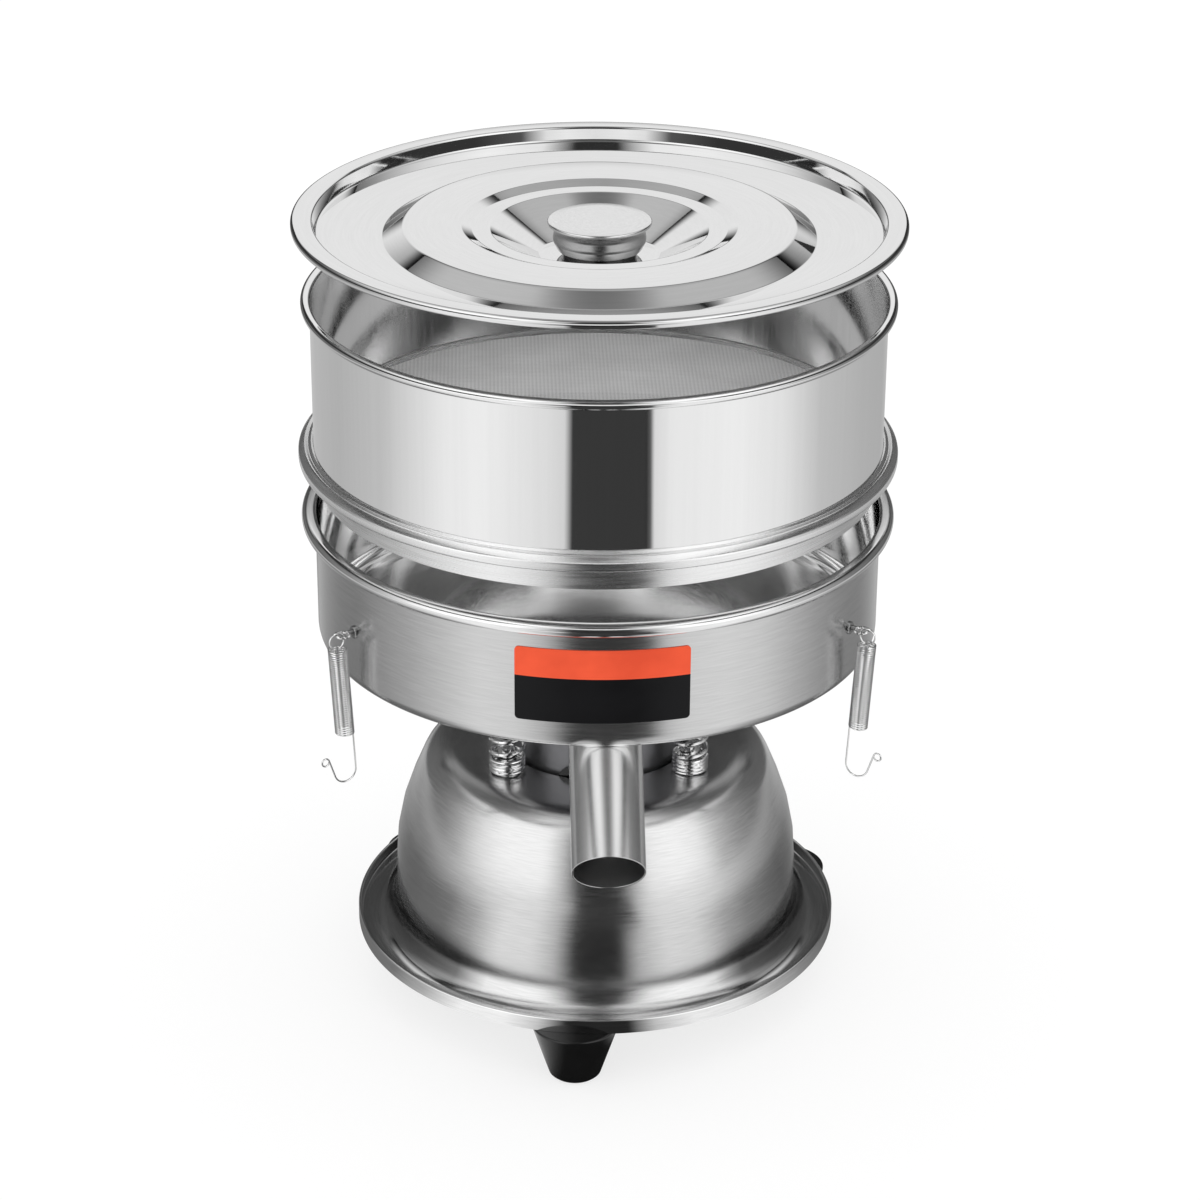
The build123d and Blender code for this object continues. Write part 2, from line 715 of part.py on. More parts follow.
def drum_flange():
    """The ring that rests on the pan's rim, with its skirt below and the groove for the wall."""
    skirt_r_outer = pan_r - sheet - skirt_gap
    skirt_r_inner = skirt_r_outer - sheet
    collar_r = drum_r - sheet - seat_gap
    top = drum_bottom_z + flange_height
    web_top = drum_bottom_z + sheet
    return spun(outline(
        (skirt_r_inner, drum_bottom_z - skirt_drop),
        (skirt_r_outer, drum_bottom_z - skirt_drop),
        (skirt_r_outer, drum_bottom_z),
        (flange_r - flange_bevel, drum_bottom_z),
        (flange_r, drum_bottom_z + flange_bevel),
        (flange_r, drum_bottom_z + flange_edge_height),
        (flange_ridge_r, top - flange_ridge_depth),
        (flange_hollow_r, top - flange_hollow_depth),
        (drum_r + seat_gap, top),
        (drum_r + seat_gap, web_top),
        (collar_r, web_top),
        (collar_r, top),
        (skirt_r_inner, top),
    ))


def mesh_screen():
    radius = drum_r - sheet - seat_gap
    return rod(radius, mesh_thickness, (0, 0, drum_bottom_z + flange_height))


def mesh_ring():
    outer_r = drum_r - sheet - seat_gap
    ring = Circle(outer_r) - Circle(outer_r - mesh_ring_width)
    return Pos(0, 0, drum_bottom_z + flange_height + mesh_thickness) * extrude(ring, mesh_ring_height)


# Lid

def lid_levels():
    """Heights of the lid's well, its panel's foot, its disc, its ledge and its dish's floor."""
    well_z = lid_rim_top_z - lid_well_depth
    foot_z = well_z - lid_panel_fall
    disc_z = foot_z + lid_disc_rise
    ledge_z = disc_z - lid_step_depth
    return well_z, foot_z, disc_z, ledge_z, ledge_z - lid_dish_depth


def lid_shell():
    well_z, foot_z, disc_z, ledge_z, dish_z = lid_levels()
    curl_z = lid_rim_top_z - lid_curl_drop
    middle = Polyline(
        (0, dish_z),
        (lid_dish_floor_r, dish_z),
        (lid_dish_r, ledge_z),
        (lid_step_inner_r, ledge_z),
        (lid_step_outer_r, disc_z),
        (lid_disc_r, disc_z),
        (lid_disc_foot_r, foot_z),
        (lid_well_r - lid_well_taper, well_z),
        (lid_well_r - lid_well_taper / 2, (well_z + lid_rim_top_z) / 2),
    )
    rim = FilletPolyline(
        (lid_well_r - lid_well_taper / 2, (well_z + lid_rim_top_z) / 2),
        (lid_well_r, lid_rim_top_z),
        (lid_r, lid_rim_top_z),
        (lid_r, curl_z),
        (lid_r - 2 * lid_curl_r, curl_z),
        radius=lid_bend_r,
    )
    line = Wire(middle.edges() + rim.edges())
    hole = rod(knob_screw_r + seat_gap, 4 * sheet, (0, 0, dish_z - 2 * sheet))
    return spun(sheet_section(line, side=Side.RIGHT)) - hole


def knob():
    """The turned knob: a thin wide cap on a hollow neck with a rounded foot."""
    low = lid_levels()[4] + knob_base_height
    cap_z = low + knob_height - knob_cap_height
    edge_r = knob_cap_height / 4
    cap = rod(knob_cap_r, knob_cap_height, (0, 0, cap_z))
    neck = rod(knob_neck_r, cap_z - low, (0, 0, low))
    neck = fillet(neck.edges().group_by(Axis.Z)[0], knob_round_r)
    hollow = rod(knob_neck_r - knob_wall, cap_z - low - knob_round_r, (0, 0, low + knob_round_r))
    boss = rod(knob_boss_r, cap_z - low, (0, 0, low))
    bore = rod(knob_screw_r + running_gap, knob_screw_reach, (0, 0, low))
    top = fillet(cap.edges(), edge_r)
    return top + (neck - hollow) + boss - bore


def knob_base():
    """The washer between the knob and the dish's floor."""
    radius = knob_neck_r - knob_round_r
    ring = Circle(radius) - Circle(knob_screw_r + seat_gap)
    return Pos(0, 0, lid_levels()[4]) * extrude(ring, knob_base_height)


def knob_screw():
    under = lid_levels()[4] - sheet
    head = rod(knob_screw_head_r, knob_screw_head_height, (0, 0, under - knob_screw_head_height))
    return head + rod(knob_screw_r, sheet + knob_base_height + knob_screw_reach, (0, 0, under))


# Hook springs

def hook_spring(angle):
    """A tension spring on its eye: loop, close-wound coil and open hook, leaning a little."""
    loop_z = eye_wire / 2 + hook_wire / 2 + moving_gap - hook_loop_r
    coil_top = loop_z - hook_loop_r
    coil_bottom = coil_top - hook_coil_length
    section = RegularPolygon(hook_wire / 2, 6)
    loop = Pos(0, 0, loop_z) * Rot(90, 0, 0) * wire_ring(hook_loop_r, hook_wire)
    coil = Pos(0, 0, coil_bottom) * extrude(Circle(hook_coil_r), hook_coil_length)
    coil -= Pos(0, 0, coil_bottom) * extrude(Circle(hook_coil_r - hook_coil_wall),
                                             hook_coil_length - hook_coil_wall)
    leg_x = hook_wire / 2 - hook_coil_r
    leg = Pos(leg_x, 0, coil_bottom - hook_leg) * extrude(section, hook_leg)
    bend_place = Pos(leg_x + hook_bend_r, 0, coil_bottom - hook_leg)
    bend = bend_place * revolve(Pos(-hook_bend_r, 0) * section, -Axis.Y, hook_bend_turn)
    tip_place = bend_place * Rot(0, -hook_bend_turn, 0) * Pos(-hook_bend_r, 0, -hook_tip_length)
    tip = tip_place * extrude(section, hook_tip_length)
    curl = tip_place * Pos(-hook_curl_r, 0, 0) * revolve(Pos(hook_curl_r, 0) * section, Axis.Y, hook_curl_turn)
    pivot_r = pan_r + eye_shank_length + 2 * eye_ring_r
    hanging = Rot(0, hook_lean, 0) * (coil + loop + leg + bend + tip + curl)
    return turned(angle, Pos(0, -pivot_r, eye_z) * Rot(0, 0, -90) * hanging)


# Base
write("base_shell", base_shell())
write("bottom_cover", bottom_cover())
for i, angle in enumerate(foot_turns):
    write("foot_" + str(i + 1), turned(angle, foot()))
write("foot_screws", *[turned(angle, foot_screw()) for angle in foot_turns])
write("spring_posts", *[Pos(x, y, dome_top_z) * guide_post() for x, y in spring_places()])
for i, place in enumerate(spring_places()):
    write("suspension_spring_" + str(i + 1), suspension_spring(*place))
write("switch_body", switch_body())
write("switch_rocker", switch_rocker())
write("cord_gland", cord_gland())
write("run_capacitor", run_capacitor())
write("capacitor_strap", capacitor_strap())
write("terminal_block", terminal_block())

# Pan with the motor
write("pan", pan())
write("outlet_spout", outlet_spout())
write("eye_bolts", *[turned(angle, eye_bolt()) for angle in hook_turns])
write("motor_plate", motor_plate())
write("spring_caps", *[spring_cap(x, y) for x, y in spring_places()])
write("motor_housing", motor_housing())
write("housing_cap", housing_cap())
write("motor_lead_grommet", lead_grommet())
write("motor_bolts", *[turned(angle, motor_bolt()) for angle in motor_ears()])
write("upper_bracket", upper_end() * bearing_bracket())
write("lower_bracket", lower_end() * bearing_bracket())
write("upper_bearing", upper_end() * bearing())
write("lower_bearing", lower_end() * bearing())
write("stator_core", stator_core())
write("stator_winding", *winding())

# Rotor
lower_turn = Rot(0, 0, lower_weight_turn)
write("motor_shaft", motor_shaft())
write("rotor_core", rotor_core())
write("upper_weight", upper_end() * weight())
write("lower_weight", lower_turn * lower_end() * weight())
write("weight_screws", upper_end() * set_screw(), lower_turn * lower_end() * set_screw())

# Drum
write("drum_wall", drum_wall())
write("drum_flange", drum_flange())
write("mesh_screen", mesh_screen())
write("mesh_ring", mesh_ring())

# Lid
write("lid_shell", lid_shell())
write("lid_knob", knob())
write("knob_base", knob_base())
write("knob_screw", knob_screw())

# Hook springs
for i, angle in enumerate(hook_turns):
    write("hook_spring_" + str(i + 1), hook_spring(angle))
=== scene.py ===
import math

import bmesh
import bpy
from mathutils import Matrix, Vector


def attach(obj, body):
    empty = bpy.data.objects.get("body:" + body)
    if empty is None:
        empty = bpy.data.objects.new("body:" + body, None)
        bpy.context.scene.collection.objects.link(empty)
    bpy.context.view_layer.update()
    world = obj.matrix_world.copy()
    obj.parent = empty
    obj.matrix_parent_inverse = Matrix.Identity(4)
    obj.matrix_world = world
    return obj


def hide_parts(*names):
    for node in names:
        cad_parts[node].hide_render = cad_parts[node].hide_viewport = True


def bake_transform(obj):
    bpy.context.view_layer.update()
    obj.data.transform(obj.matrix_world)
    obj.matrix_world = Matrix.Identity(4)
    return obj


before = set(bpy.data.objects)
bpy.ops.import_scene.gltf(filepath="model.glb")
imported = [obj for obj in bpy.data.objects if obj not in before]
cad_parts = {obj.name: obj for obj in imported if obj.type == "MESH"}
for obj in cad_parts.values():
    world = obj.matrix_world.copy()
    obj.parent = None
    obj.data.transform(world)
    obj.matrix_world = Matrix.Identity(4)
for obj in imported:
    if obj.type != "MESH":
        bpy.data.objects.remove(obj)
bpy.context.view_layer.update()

# The looks of a table-top vibrating sieve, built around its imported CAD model.
# Sizes are in millimetres and turned into metres where a mesh is made. Angles about the drum's
# axis are in degrees from the spout's side (-Y) towards +X.

mm = 0.001
full_turn = 2 * math.pi
arc_step = math.radians(9)          # of a rounded corner's facets
fewest_arc_steps = 3
sharp_angle = math.radians(32)      # edges that turn by more than this look sharp
straight = 0.001                    # a corner that turns by less than this isn't rounded
on_axis = 0.0001                    # a point nearer to the axis than this is on it

# Facets round a turned piece or a wire
round_segments = 288
lid_segments = 384
knob_segments = 192
spout_segments = 128
small_segments = 96
collar_segments = 32
shank_segments = 24
nut_sides = 6
wire_sides = 10
weld_sides = 8

# Sizes of the CAD model
sheet = 0.8
floor_gap = 0.2
pan_r = 150.2
pan_rim_z = 282.0
pan_bottom_z = 209.5
pan_corner_r = 8
drum_r = 150.0
drum_top_z = 399.9
mesh_low_z = 320.7
mesh_r = 149.1
lid_rim_z = 442.2
spout_outer_r = 18.75
spout_inner_r = 17.85
spout_length = 150.0
spout_end = Vector((0.0, -187.1, 160.6))
spout_tilt = math.radians(35.3)
spout_way = Vector((0.0, math.cos(spout_tilt), math.sin(spout_tilt)))
foot_turns = (-7.0, 113.0, 233.0)
foot_circle_r = 119.0
hook_turns = (-58.5, 58.5, 180.0)
eye_z = 243.0


# Making meshes

def place(angle, radius, height):
    """The point at this angle about the drum's axis, in metres."""
    turn = math.radians(angle)
    return Vector((radius * math.sin(turn), -radius * math.cos(turn), height)) * mm


def turned_by(angle, size=4):
    """A turn about the Z axis by an angle in degrees."""
    return Matrix.Rotation(math.radians(angle), size, "Z")


def rounded(points):
    """A line through points (across, up, bend radius), each corner rounded by its radius."""
    line = [Vector(points[0][:2])]
    for before, corner, after in zip(points, points[1:], points[2:]):
        here = Vector(corner[:2])
        back = (Vector(before[:2]) - here).normalized()
        ahead = (Vector(after[:2]) - here).normalized()
        opening = back.angle(ahead)
        if corner[2] == 0 or opening > math.pi - straight:
            line.append(here)
            continue
        turn = math.pi - opening
        middle = here + (back + ahead).normalized() * (corner[2] / math.sin(opening / 2))
        start = here + back * (corner[2] / math.tan(opening / 2)) - middle
        side = 1 if back.cross(ahead) < 0 else -1
        count = max(fewest_arc_steps, math.ceil(turn / arc_step))
        for i in range(count + 1):
            line.append(middle + Matrix.Rotation(side * turn * i / count, 2) @ start)
    line.append(Vector(points[-1][:2]))
    return line


def shifted(line, distance):
    """The line moved sideways to its left."""
    moved = []
    for i, point in enumerate(line):
        pairs = zip(line[max(i - 1, 0):i + 1], line[max(i, 1):i + 2])
        runs = [b - a for a, b in pairs if (b - a).length > 0]
        if i == 0:
            runs = [line[1] - line[0]]
        normals = [Vector((-run.y, run.x)).normalized() for run in runs]
        middle = sum(normals, Vector((0, 0))).normalized()
        moved.append(point + middle * (distance / middle.dot(normals[0])))
    return moved


def finished(name, shape, material, smooth=True):
    """An object from a bmesh in metres, with smooth faces and sharp edges by angle."""
    bmesh.ops.recalc_face_normals(shape, faces=shape.faces)
    mesh = bpy.data.meshes.new(name)
    shape.to_mesh(mesh)
    shape.free()
    for face in mesh.polygons:
        face.use_smooth = smooth
    mesh.set_sharp_from_angle(angle=sharp_angle)
    piece = bpy.data.objects.new(name, mesh)
    bpy.context.scene.collection.objects.link(piece)
    mesh.materials.append(material)
    return piece


def add_lathe(shape, loop, segments, frame_at=Matrix.Identity(4)):
    """Adds a loop of (across, up) points turned about the frame's Z axis."""
    rings = []
    for point in loop:
        if point[0] < on_axis:
            rings.append([shape.verts.new(frame_at @ Vector((0, 0, point[1] * mm)))])
            continue
        ring = []
        for i in range(segments):
            turn = full_turn * i / segments
            spot = Vector((point[0] * math.sin(turn), -point[0] * math.cos(turn), point[1])) * mm
            ring.append(shape.verts.new(frame_at @ spot))
        rings.append(ring)
    pairs = list(zip(rings, rings[1:]))
    if len(rings[0]) > 1 or len(rings[-1]) > 1:
        pairs.append((rings[-1], rings[0]))
    for low, high in pairs:
        for i in range(segments):
            j = (i + 1) % segments
            corners = [low[i % len(low)], low[j % len(low)], high[j % len(high)], high[i % len(high)]]
            kept = [c for n, c in enumerate(corners) if c not in corners[:n]]
            if len(kept) > 2:
                shape.faces.new(kept)


def lathe(name, loop, material, segments=round_segments):
    """A turned piece about the drum's axis."""
    shape = bmesh.new()
    add_lathe(shape, loop, segments)
    return finished(name, shape, material)


def add_tube(shape, path, radius, sides=wire_sides, closed=False):
    """Adds a round wire along a path of points in millimetres."""
    count = len(path)
    runs = []
    for i in range(count):
        before = path[i - 1] if closed or i > 0 else path[i]
        after = path[(i + 1) % count] if closed or i < count - 1 else path[i]
        runs.append((after - before).normalized())
    across = runs[0].orthogonal().normalized()
    rings = []
    for point, run in zip(path, runs):
        across = (across - run * across.dot(run)).normalized()
        other = run.cross(across)
        ring = []
        for i in range(sides):
            turn = full_turn * i / sides
            spot = point + (across * math.cos(turn) + other * math.sin(turn)) * radius
            ring.append(shape.verts.new(spot * mm))
        rings.append(ring)
    pairs = list(zip(rings, rings[1:]))
    if closed:
        twist = min(range(sides), key=lambda n: (rings[0][n].co - rings[-1][0].co).length)
        pairs.append((rings[-1], rings[0][twist:] + rings[0][:twist]))
    else:
        shape.faces.new(rings[0])
        shape.faces.new(rings[-1][::-1])
    for low, high in pairs:
        for i in range(sides):
            j = (i + 1) % sides
            shape.faces.new((low[i], low[j], high[j], high[i]))


def cut(piece, tool):
    """Cuts the tool's shape out of the piece and removes the tool."""
    modifier = piece.modifiers.new("cut", "BOOLEAN")
    modifier.operation = "DIFFERENCE"
    modifier.solver = "EXACT"
    modifier.object = tool
    bpy.context.view_layer.update()
    mesh = bpy.data.meshes.new_from_object(piece.evaluated_get(bpy.context.evaluated_depsgraph_get()))
    piece.modifiers.clear()
    piece.data = mesh
    mesh.set_sharp_from_angle(angle=sharp_angle)
    bpy.data.objects.remove(tool)


def settle(piece, body, slot, *nodes):
    """The piece rides on a body and stands for these CAD nodes. The slot is not used."""
    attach(piece, body)
    if nodes:
        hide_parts(*nodes)


# Materials

# Sockets of a Mix node that mixes colours
mix_first, mix_second, mix_result = 6, 7, 2


def new_material(name):
    """A material, its nodes and links, and its shader."""
    material = bpy.data.materials.new(name)
    material.use_nodes = True
    nodes = material.node_tree.nodes
    return material, nodes, material.node_tree.links, nodes["Principled BSDF"]


def node(nodes, kind, **values):
    """A new node of a kind, with its settings."""
    made = nodes.new("ShaderNode" + kind)
    for key, value in values.items():
        setattr(made, key, value)
    return made


def turn_of(nodes, links, parts):
    """The angle about the Z axis of a place's parts, in radians from -Y towards +X."""
    flipped = node(nodes, "Math", operation="MULTIPLY")
    links.new(parts.outputs["Y"], flipped.inputs[0])
    flipped.inputs[1].default_value = -1
    turn = node(nodes, "Math", operation="ARCTAN2")
    links.new(parts.outputs["X"], turn.inputs[0])
    links.new(flipped.outputs[0], turn.inputs[1])
    return turn.outputs[0]


def around_axis(nodes, links):
    """Object coordinates, and the place on the object as turn, radius and height."""
    coordinates = node(nodes, "TexCoord")
    parts = node(nodes, "SeparateXYZ")
    links.new(coordinates.outputs["Object"], parts.inputs[0])
    flat = node(nodes, "CombineXYZ")
    links.new(parts.outputs["X"], flat.inputs["X"])
    links.new(parts.outputs["Y"], flat.inputs["Y"])
    radius = node(nodes, "VectorMath", operation="LENGTH")
    links.new(flat.outputs[0], radius.inputs[0])
    joined = node(nodes, "CombineXYZ")
    links.new(turn_of(nodes, links, parts), joined.inputs["X"])
    links.new(radius.outputs["Value"], joined.inputs["Y"])
    links.new(parts.outputs["Z"], joined.inputs["Z"])
    return coordinates, joined


def cylinder_parts(nodes, links):
    """A node whose X, Y and Z are the turn, radius and height of the place on the object."""
    parts = node(nodes, "SeparateXYZ")
    links.new(around_axis(nodes, links)[1].outputs[0], parts.inputs[0])
    return parts


def stretched_noise(nodes, links, source, scales, detail=3.0):
    """Noise stretched by its own scale along each direction of the source."""
    mapping = node(nodes, "Mapping")
    links.new(source, mapping.inputs["Vector"])
    mapping.inputs["Scale"].default_value = scales
    noise = node(nodes, "TexNoise")
    links.new(mapping.outputs[0], noise.inputs["Vector"])
    noise.inputs["Scale"].default_value = 1.0
    noise.inputs["Detail"].default_value = detail
    return noise.outputs["Fac"]


def ranged(nodes, links, source, low, high, start=0.3, end=0.7, steps="LINEAR"):
    """The source's values from start to end, spread from low to high."""
    spread = node(nodes, "MapRange", interpolation_type=steps)
    links.new(source, spread.inputs["Value"])
    for key, value in (("From Min", start), ("From Max", end), ("To Min", low), ("To Max", high)):
        spread.inputs[key].default_value = value
    return spread.outputs["Result"]


cloud_scales, cloud_detail = (26.0, 26.0, 26.0), 4.0
wide_scales, fine_detail = (40.0, 40.0, 40.0), 2.0
steel_bump_depth = 0.0002           # in metres
coated_bump_depth = 0.0003
coated_spread = 0.05
across_grain = 0.25                 # the turn of the gloss's stretch, as a share of a full turn


def steel(name, grey, roughness, grain, spread=0.08, bump=0.05, anisotropy=0.0, tone_spread=0.06,
          blotch=0.03):
    """Bare steel: grain lines stretched about the axis, uneven gloss, and faint cloudy wear."""
    material, nodes, links, shader = new_material(name)
    coordinates, cylinder = around_axis(nodes, links)
    lines = stretched_noise(nodes, links, cylinder.outputs[0], grain)
    clouds = stretched_noise(nodes, links, coordinates.outputs["Object"], cloud_scales, cloud_detail)
    line_part = ranged(nodes, links, lines, roughness - spread, roughness + spread)
    cloud_part = ranged(nodes, links, clouds, -blotch, blotch)
    total = node(nodes, "Math", operation="ADD")
    links.new(line_part, total.inputs[0])
    links.new(cloud_part, total.inputs[1])
    links.new(total.outputs[0], shader.inputs["Roughness"])
    ramp = node(nodes, "ValToRGB")
    links.new(ranged(nodes, links, lines, 0.0, 1.0), ramp.inputs["Fac"])
    dark = grey * (1 - tone_spread)
    light = min(1.0, grey * (1 + tone_spread))
    ramp.color_ramp.elements[0].color = (dark, dark, dark, 1)
    ramp.color_ramp.elements[1].color = (light, light, light, 1)
    links.new(ramp.outputs["Color"], shader.inputs["Base Color"])
    shader.inputs["Metallic"].default_value = 1.0
    if bump:
        bumps = node(nodes, "Bump")
        bumps.inputs["Strength"].default_value = bump
        bumps.inputs["Distance"].default_value = steel_bump_depth
        links.new(lines, bumps.inputs["Height"])
        links.new(bumps.outputs["Normal"], shader.inputs["Normal"])
    if anisotropy:
        tangent = node(nodes, "Tangent", direction_type="RADIAL", axis="Z")
        links.new(tangent.outputs[0], shader.inputs["Tangent"])
        shader.inputs["Anisotropic"].default_value = anisotropy
        shader.inputs["Anisotropic Rotation"].default_value = across_grain
    return material


def coated(name, tone, roughness, grain=900.0, bump=0.08, metallic=0.0, tone_spread=0.15):
    """Plastic, rubber, paint or cast metal: a fine even grain."""
    material, nodes, links, shader = new_material(name)
    coordinates = node(nodes, "TexCoord")
    fine = stretched_noise(nodes, links, coordinates.outputs["Object"], (grain, grain, grain), fine_detail)
    wide = stretched_noise(nodes, links, coordinates.outputs["Object"], wide_scales)
    gloss = ranged(nodes, links, wide, roughness - coated_spread, roughness + coated_spread)
    links.new(gloss, shader.inputs["Roughness"])
    ramp = node(nodes, "ValToRGB")
    links.new(ranged(nodes, links, wide, 0.0, 1.0), ramp.inputs["Fac"])
    ramp.color_ramp.elements[0].color = (*[part * (1 - tone_spread) for part in tone], 1)
    ramp.color_ramp.elements[1].color = (*[min(1.0, part * (1 + tone_spread)) for part in tone], 1)
    links.new(ramp.outputs["Color"], shader.inputs["Base Color"])
    shader.inputs["Metallic"].default_value = metallic
    bumps = node(nodes, "Bump")
    bumps.inputs["Strength"].default_value = bump
    bumps.inputs["Distance"].default_value = coated_bump_depth
    links.new(fine, bumps.inputs["Height"])
    links.new(bumps.outputs["Normal"], shader.inputs["Normal"])
    return material


dome_steel = steel("dome_steel", 0.70, 0.21, grain=(9.0, 1500.0, 1500.0), spread=0.03, anisotropy=0.5,
                   bump=0.006, tone_spread=0.06, blotch=0.008)
tray_steel = steel("tray_steel", 0.70, 0.12, grain=(7.0, 1800.0, 1800.0), spread=0.02, bump=0.01,
                   tone_spread=0.05, blotch=0.01)
pan_steel = steel("pan_steel", 0.64, 0.22, grain=(9.0, 1500.0, 1500.0), spread=0.03, anisotropy=0.4,
                  bump=0.012, tone_spread=0.05, blotch=0.01)
spout_steel = steel("spout_steel", 0.72, 0.24, grain=(30.0, 500.0, 40.0), spread=0.01, bump=0.003,
                    tone_spread=0.01, blotch=0.004)
drum_steel = steel("drum_steel", 0.84, 0.045, grain=(60.0, 10.0, 4.0), spread=0.008, bump=0.002,
                   tone_spread=0.012, blotch=0.01)
flange_steel = steel("flange_steel", 0.88, 0.26, grain=(5.0, 900.0, 900.0), spread=0.05, bump=0.03)
lid_steel = steel("lid_steel", 0.80, 0.035, grain=(5.0, 700.0, 700.0), spread=0.01, bump=0.004,
                  tone_spread=0.02, blotch=0.008)
knob_steel = steel("knob_steel", 0.78, 0.14, grain=(6.0, 900.0, 900.0), spread=0.04)
# A darker copy of the steel: painted shade, for the knob's neck under its cap and the eyes' parts by the
# pan's wall
shaded_steel = steel("shaded_steel", 0.42, 0.2, grain=(5.0, 900.0, 900.0), spread=0.04)
# A lighter copy of the steel for the tray's lip and skirt: painted highlight
lit_skirt_steel = steel("lit_skirt_steel", 0.86, 0.1, grain=(9.0, 900.0, 900.0), spread=0.03, bump=0.01)
rim_steel = steel("rim_steel", 0.84, 0.12, grain=(9.0, 900.0, 900.0), spread=0.03, bump=0.01)
spring_steel = steel("spring_steel", 0.92, 0.12, grain=(60.0, 60.0, 60.0), spread=0.01, bump=0.0,
                     tone_spread=0.01)
# A rougher copy of the steel for the lid's underside, with a lighter tone that is painted light
lit_underside_steel = steel("lit_underside_steel", 0.88, 0.4, grain=(9.0, 900.0, 900.0), spread=0.04, bump=0.02)
drum_inner_steel = steel("drum_inner_steel", 0.72, 0.13, grain=(60.0, 10.0, 4.0), spread=0.02,
                         bump=0.004, tone_spread=0.03)
# A smoother, lighter copy of the pan's steel for its inside: the lighter tone is painted light
lit_pan_inner_steel = steel("lit_pan_inner_steel", 0.90, 0.08, grain=(7.0, 900.0, 900.0), spread=0.02,
                        bump=0.006, tone_spread=0.03, blotch=0.01)
mesh_steel = coated("mesh_steel", (0.85, 0.85, 0.85), 0.42, grain=300.0, metallic=0.15, tone_spread=0.05)
wire_steel = steel("wire_steel", 0.86, 0.08, grain=(200.0, 300.0, 300.0), spread=0.02, bump=0.01)
screw_steel = steel("screw_steel", 0.66, 0.28, grain=(60.0, 700.0, 700.0))
motor_paint = coated("motor_paint", (0.22, 0.22, 0.23), 0.36, metallic=0.8)
cast_metal = coated("cast_metal", (0.30, 0.30, 0.31), 0.5, grain=500.0, bump=0.3, metallic=0.8)
can_aluminium = coated("can_aluminium", (0.62, 0.62, 0.63), 0.36, metallic=1.0)
copper = coated("copper", (0.55, 0.24, 0.10), 0.32, metallic=0.9)
black_rubber = coated("black_rubber", (0.008, 0.008, 0.008), 0.2, grain=700.0, bump=0.04)
black_plastic = coated("black_plastic", (0.016, 0.016, 0.016), 0.42, grain=1500.0, bump=0.15)
rocker_plastic = coated("rocker_plastic", (0.02, 0.02, 0.02), 0.24)
white_plastic = coated("white_plastic", (0.72, 0.72, 0.68), 0.4)
label_black = coated("label_black", (0.007, 0.007, 0.008), 0.4, grain=1200.0, bump=0.02)
label_orange = coated("label_orange", (0.98, 0.105, 0.042), 0.4, grain=1200.0, bump=0.02)
label_gloss = 0.15
for material in (label_black, label_orange):
    shader = material.node_tree.nodes["Principled BSDF"]
    shader.inputs["Specular IOR Level"].default_value = label_gloss

# Painted shade at the sides of the dome's foot, where the dome meets the tray: heights in metres, and turns
# in radians
foot_shade_low, foot_shade_high = 0.034, 0.064
foot_shade_start, foot_shade_full = 0.58, 0.76
foot_shade_tones = ((0.06, 0.5), (0.22, 0.3), (0.5, 0.34))


def painted_foot_shade(material):
    """Paints shade into the steel at the sides of the dome's foot, where the dome meets the tray."""
    nodes, links = material.node_tree.nodes, material.node_tree.links
    shader = nodes["Principled BSDF"]
    plain = shader.inputs["Base Color"].links[0].from_socket
    parts = cylinder_parts(nodes, links)
    ramp = node(nodes, "ValToRGB")
    share_up = ranged(nodes, links, parts.outputs["Z"], 0.0, 1.0, foot_shade_low, foot_shade_high)
    links.new(share_up, ramp.inputs["Fac"])
    elements = ramp.color_ramp.elements
    for place_along, tone in foot_shade_tones:
        element = elements.new(place_along)
        element.color = (tone, tone, tone, 1)
    elements[0].color = (1, 1, 1, 1)
    elements[-1].color = (1, 1, 1, 1)
    turned_away = node(nodes, "Math", operation="ABSOLUTE")
    links.new(parts.outputs["X"], turned_away.inputs[0])
    mixed = node(nodes, "Mix", data_type="RGBA", blend_type="MULTIPLY")
    share = ranged(nodes, links, turned_away.outputs[0], 0.0, 1.0, foot_shade_start, foot_shade_full)
    links.new(share, mixed.inputs["Factor"])
    links.new(plain, mixed.inputs[mix_first])
    links.new(ramp.outputs["Color"], mixed.inputs[mix_second])
    links.new(mixed.outputs[mix_result], shader.inputs["Base Color"])


# The dome's and the tray's steel both get the painted shade at the dome's foot
for material in (dome_steel, tray_steel):
    painted_foot_shade(material)


# Painted shade in the mesh's weave
weave_pitch = 0.0021                # in metres
weave_shade_darkest = 0.84
wave_rate = 20                      # radians of a wave texture over one metre at scale 1


def weave_shade_lines(material):
    """Painted shade: darker lines across the weave both ways, where wires pass under others."""
    nodes, links = material.node_tree.nodes, material.node_tree.links
    shader = nodes["Principled BSDF"]
    coordinates = node(nodes, "TexCoord")
    for way in ("X", "Y"):
        plain = shader.inputs["Base Color"].links[0].from_socket
        lines = node(nodes, "TexWave", bands_direction=way)
        links.new(coordinates.outputs["Object"], lines.inputs["Vector"])
        lines.inputs["Scale"].default_value = full_turn / wave_rate / weave_pitch
        tone = ranged(nodes, links, lines.outputs["Fac"], weave_shade_darkest, 1.0, 0.0, 1.0)
        grey = node(nodes, "CombineXYZ")
        for axis in ("X", "Y", "Z"):
            links.new(tone, grey.inputs[axis])
        mixed = node(nodes, "Mix", data_type="RGBA", blend_type="MULTIPLY")
        mixed.inputs["Factor"].default_value = 1.0
        links.new(plain, mixed.inputs[mix_first])
        links.new(grey.outputs[0], mixed.inputs[mix_second])
        links.new(mixed.outputs[mix_result], shader.inputs["Base Color"])


weave_shade_lines(mesh_steel)


# Base

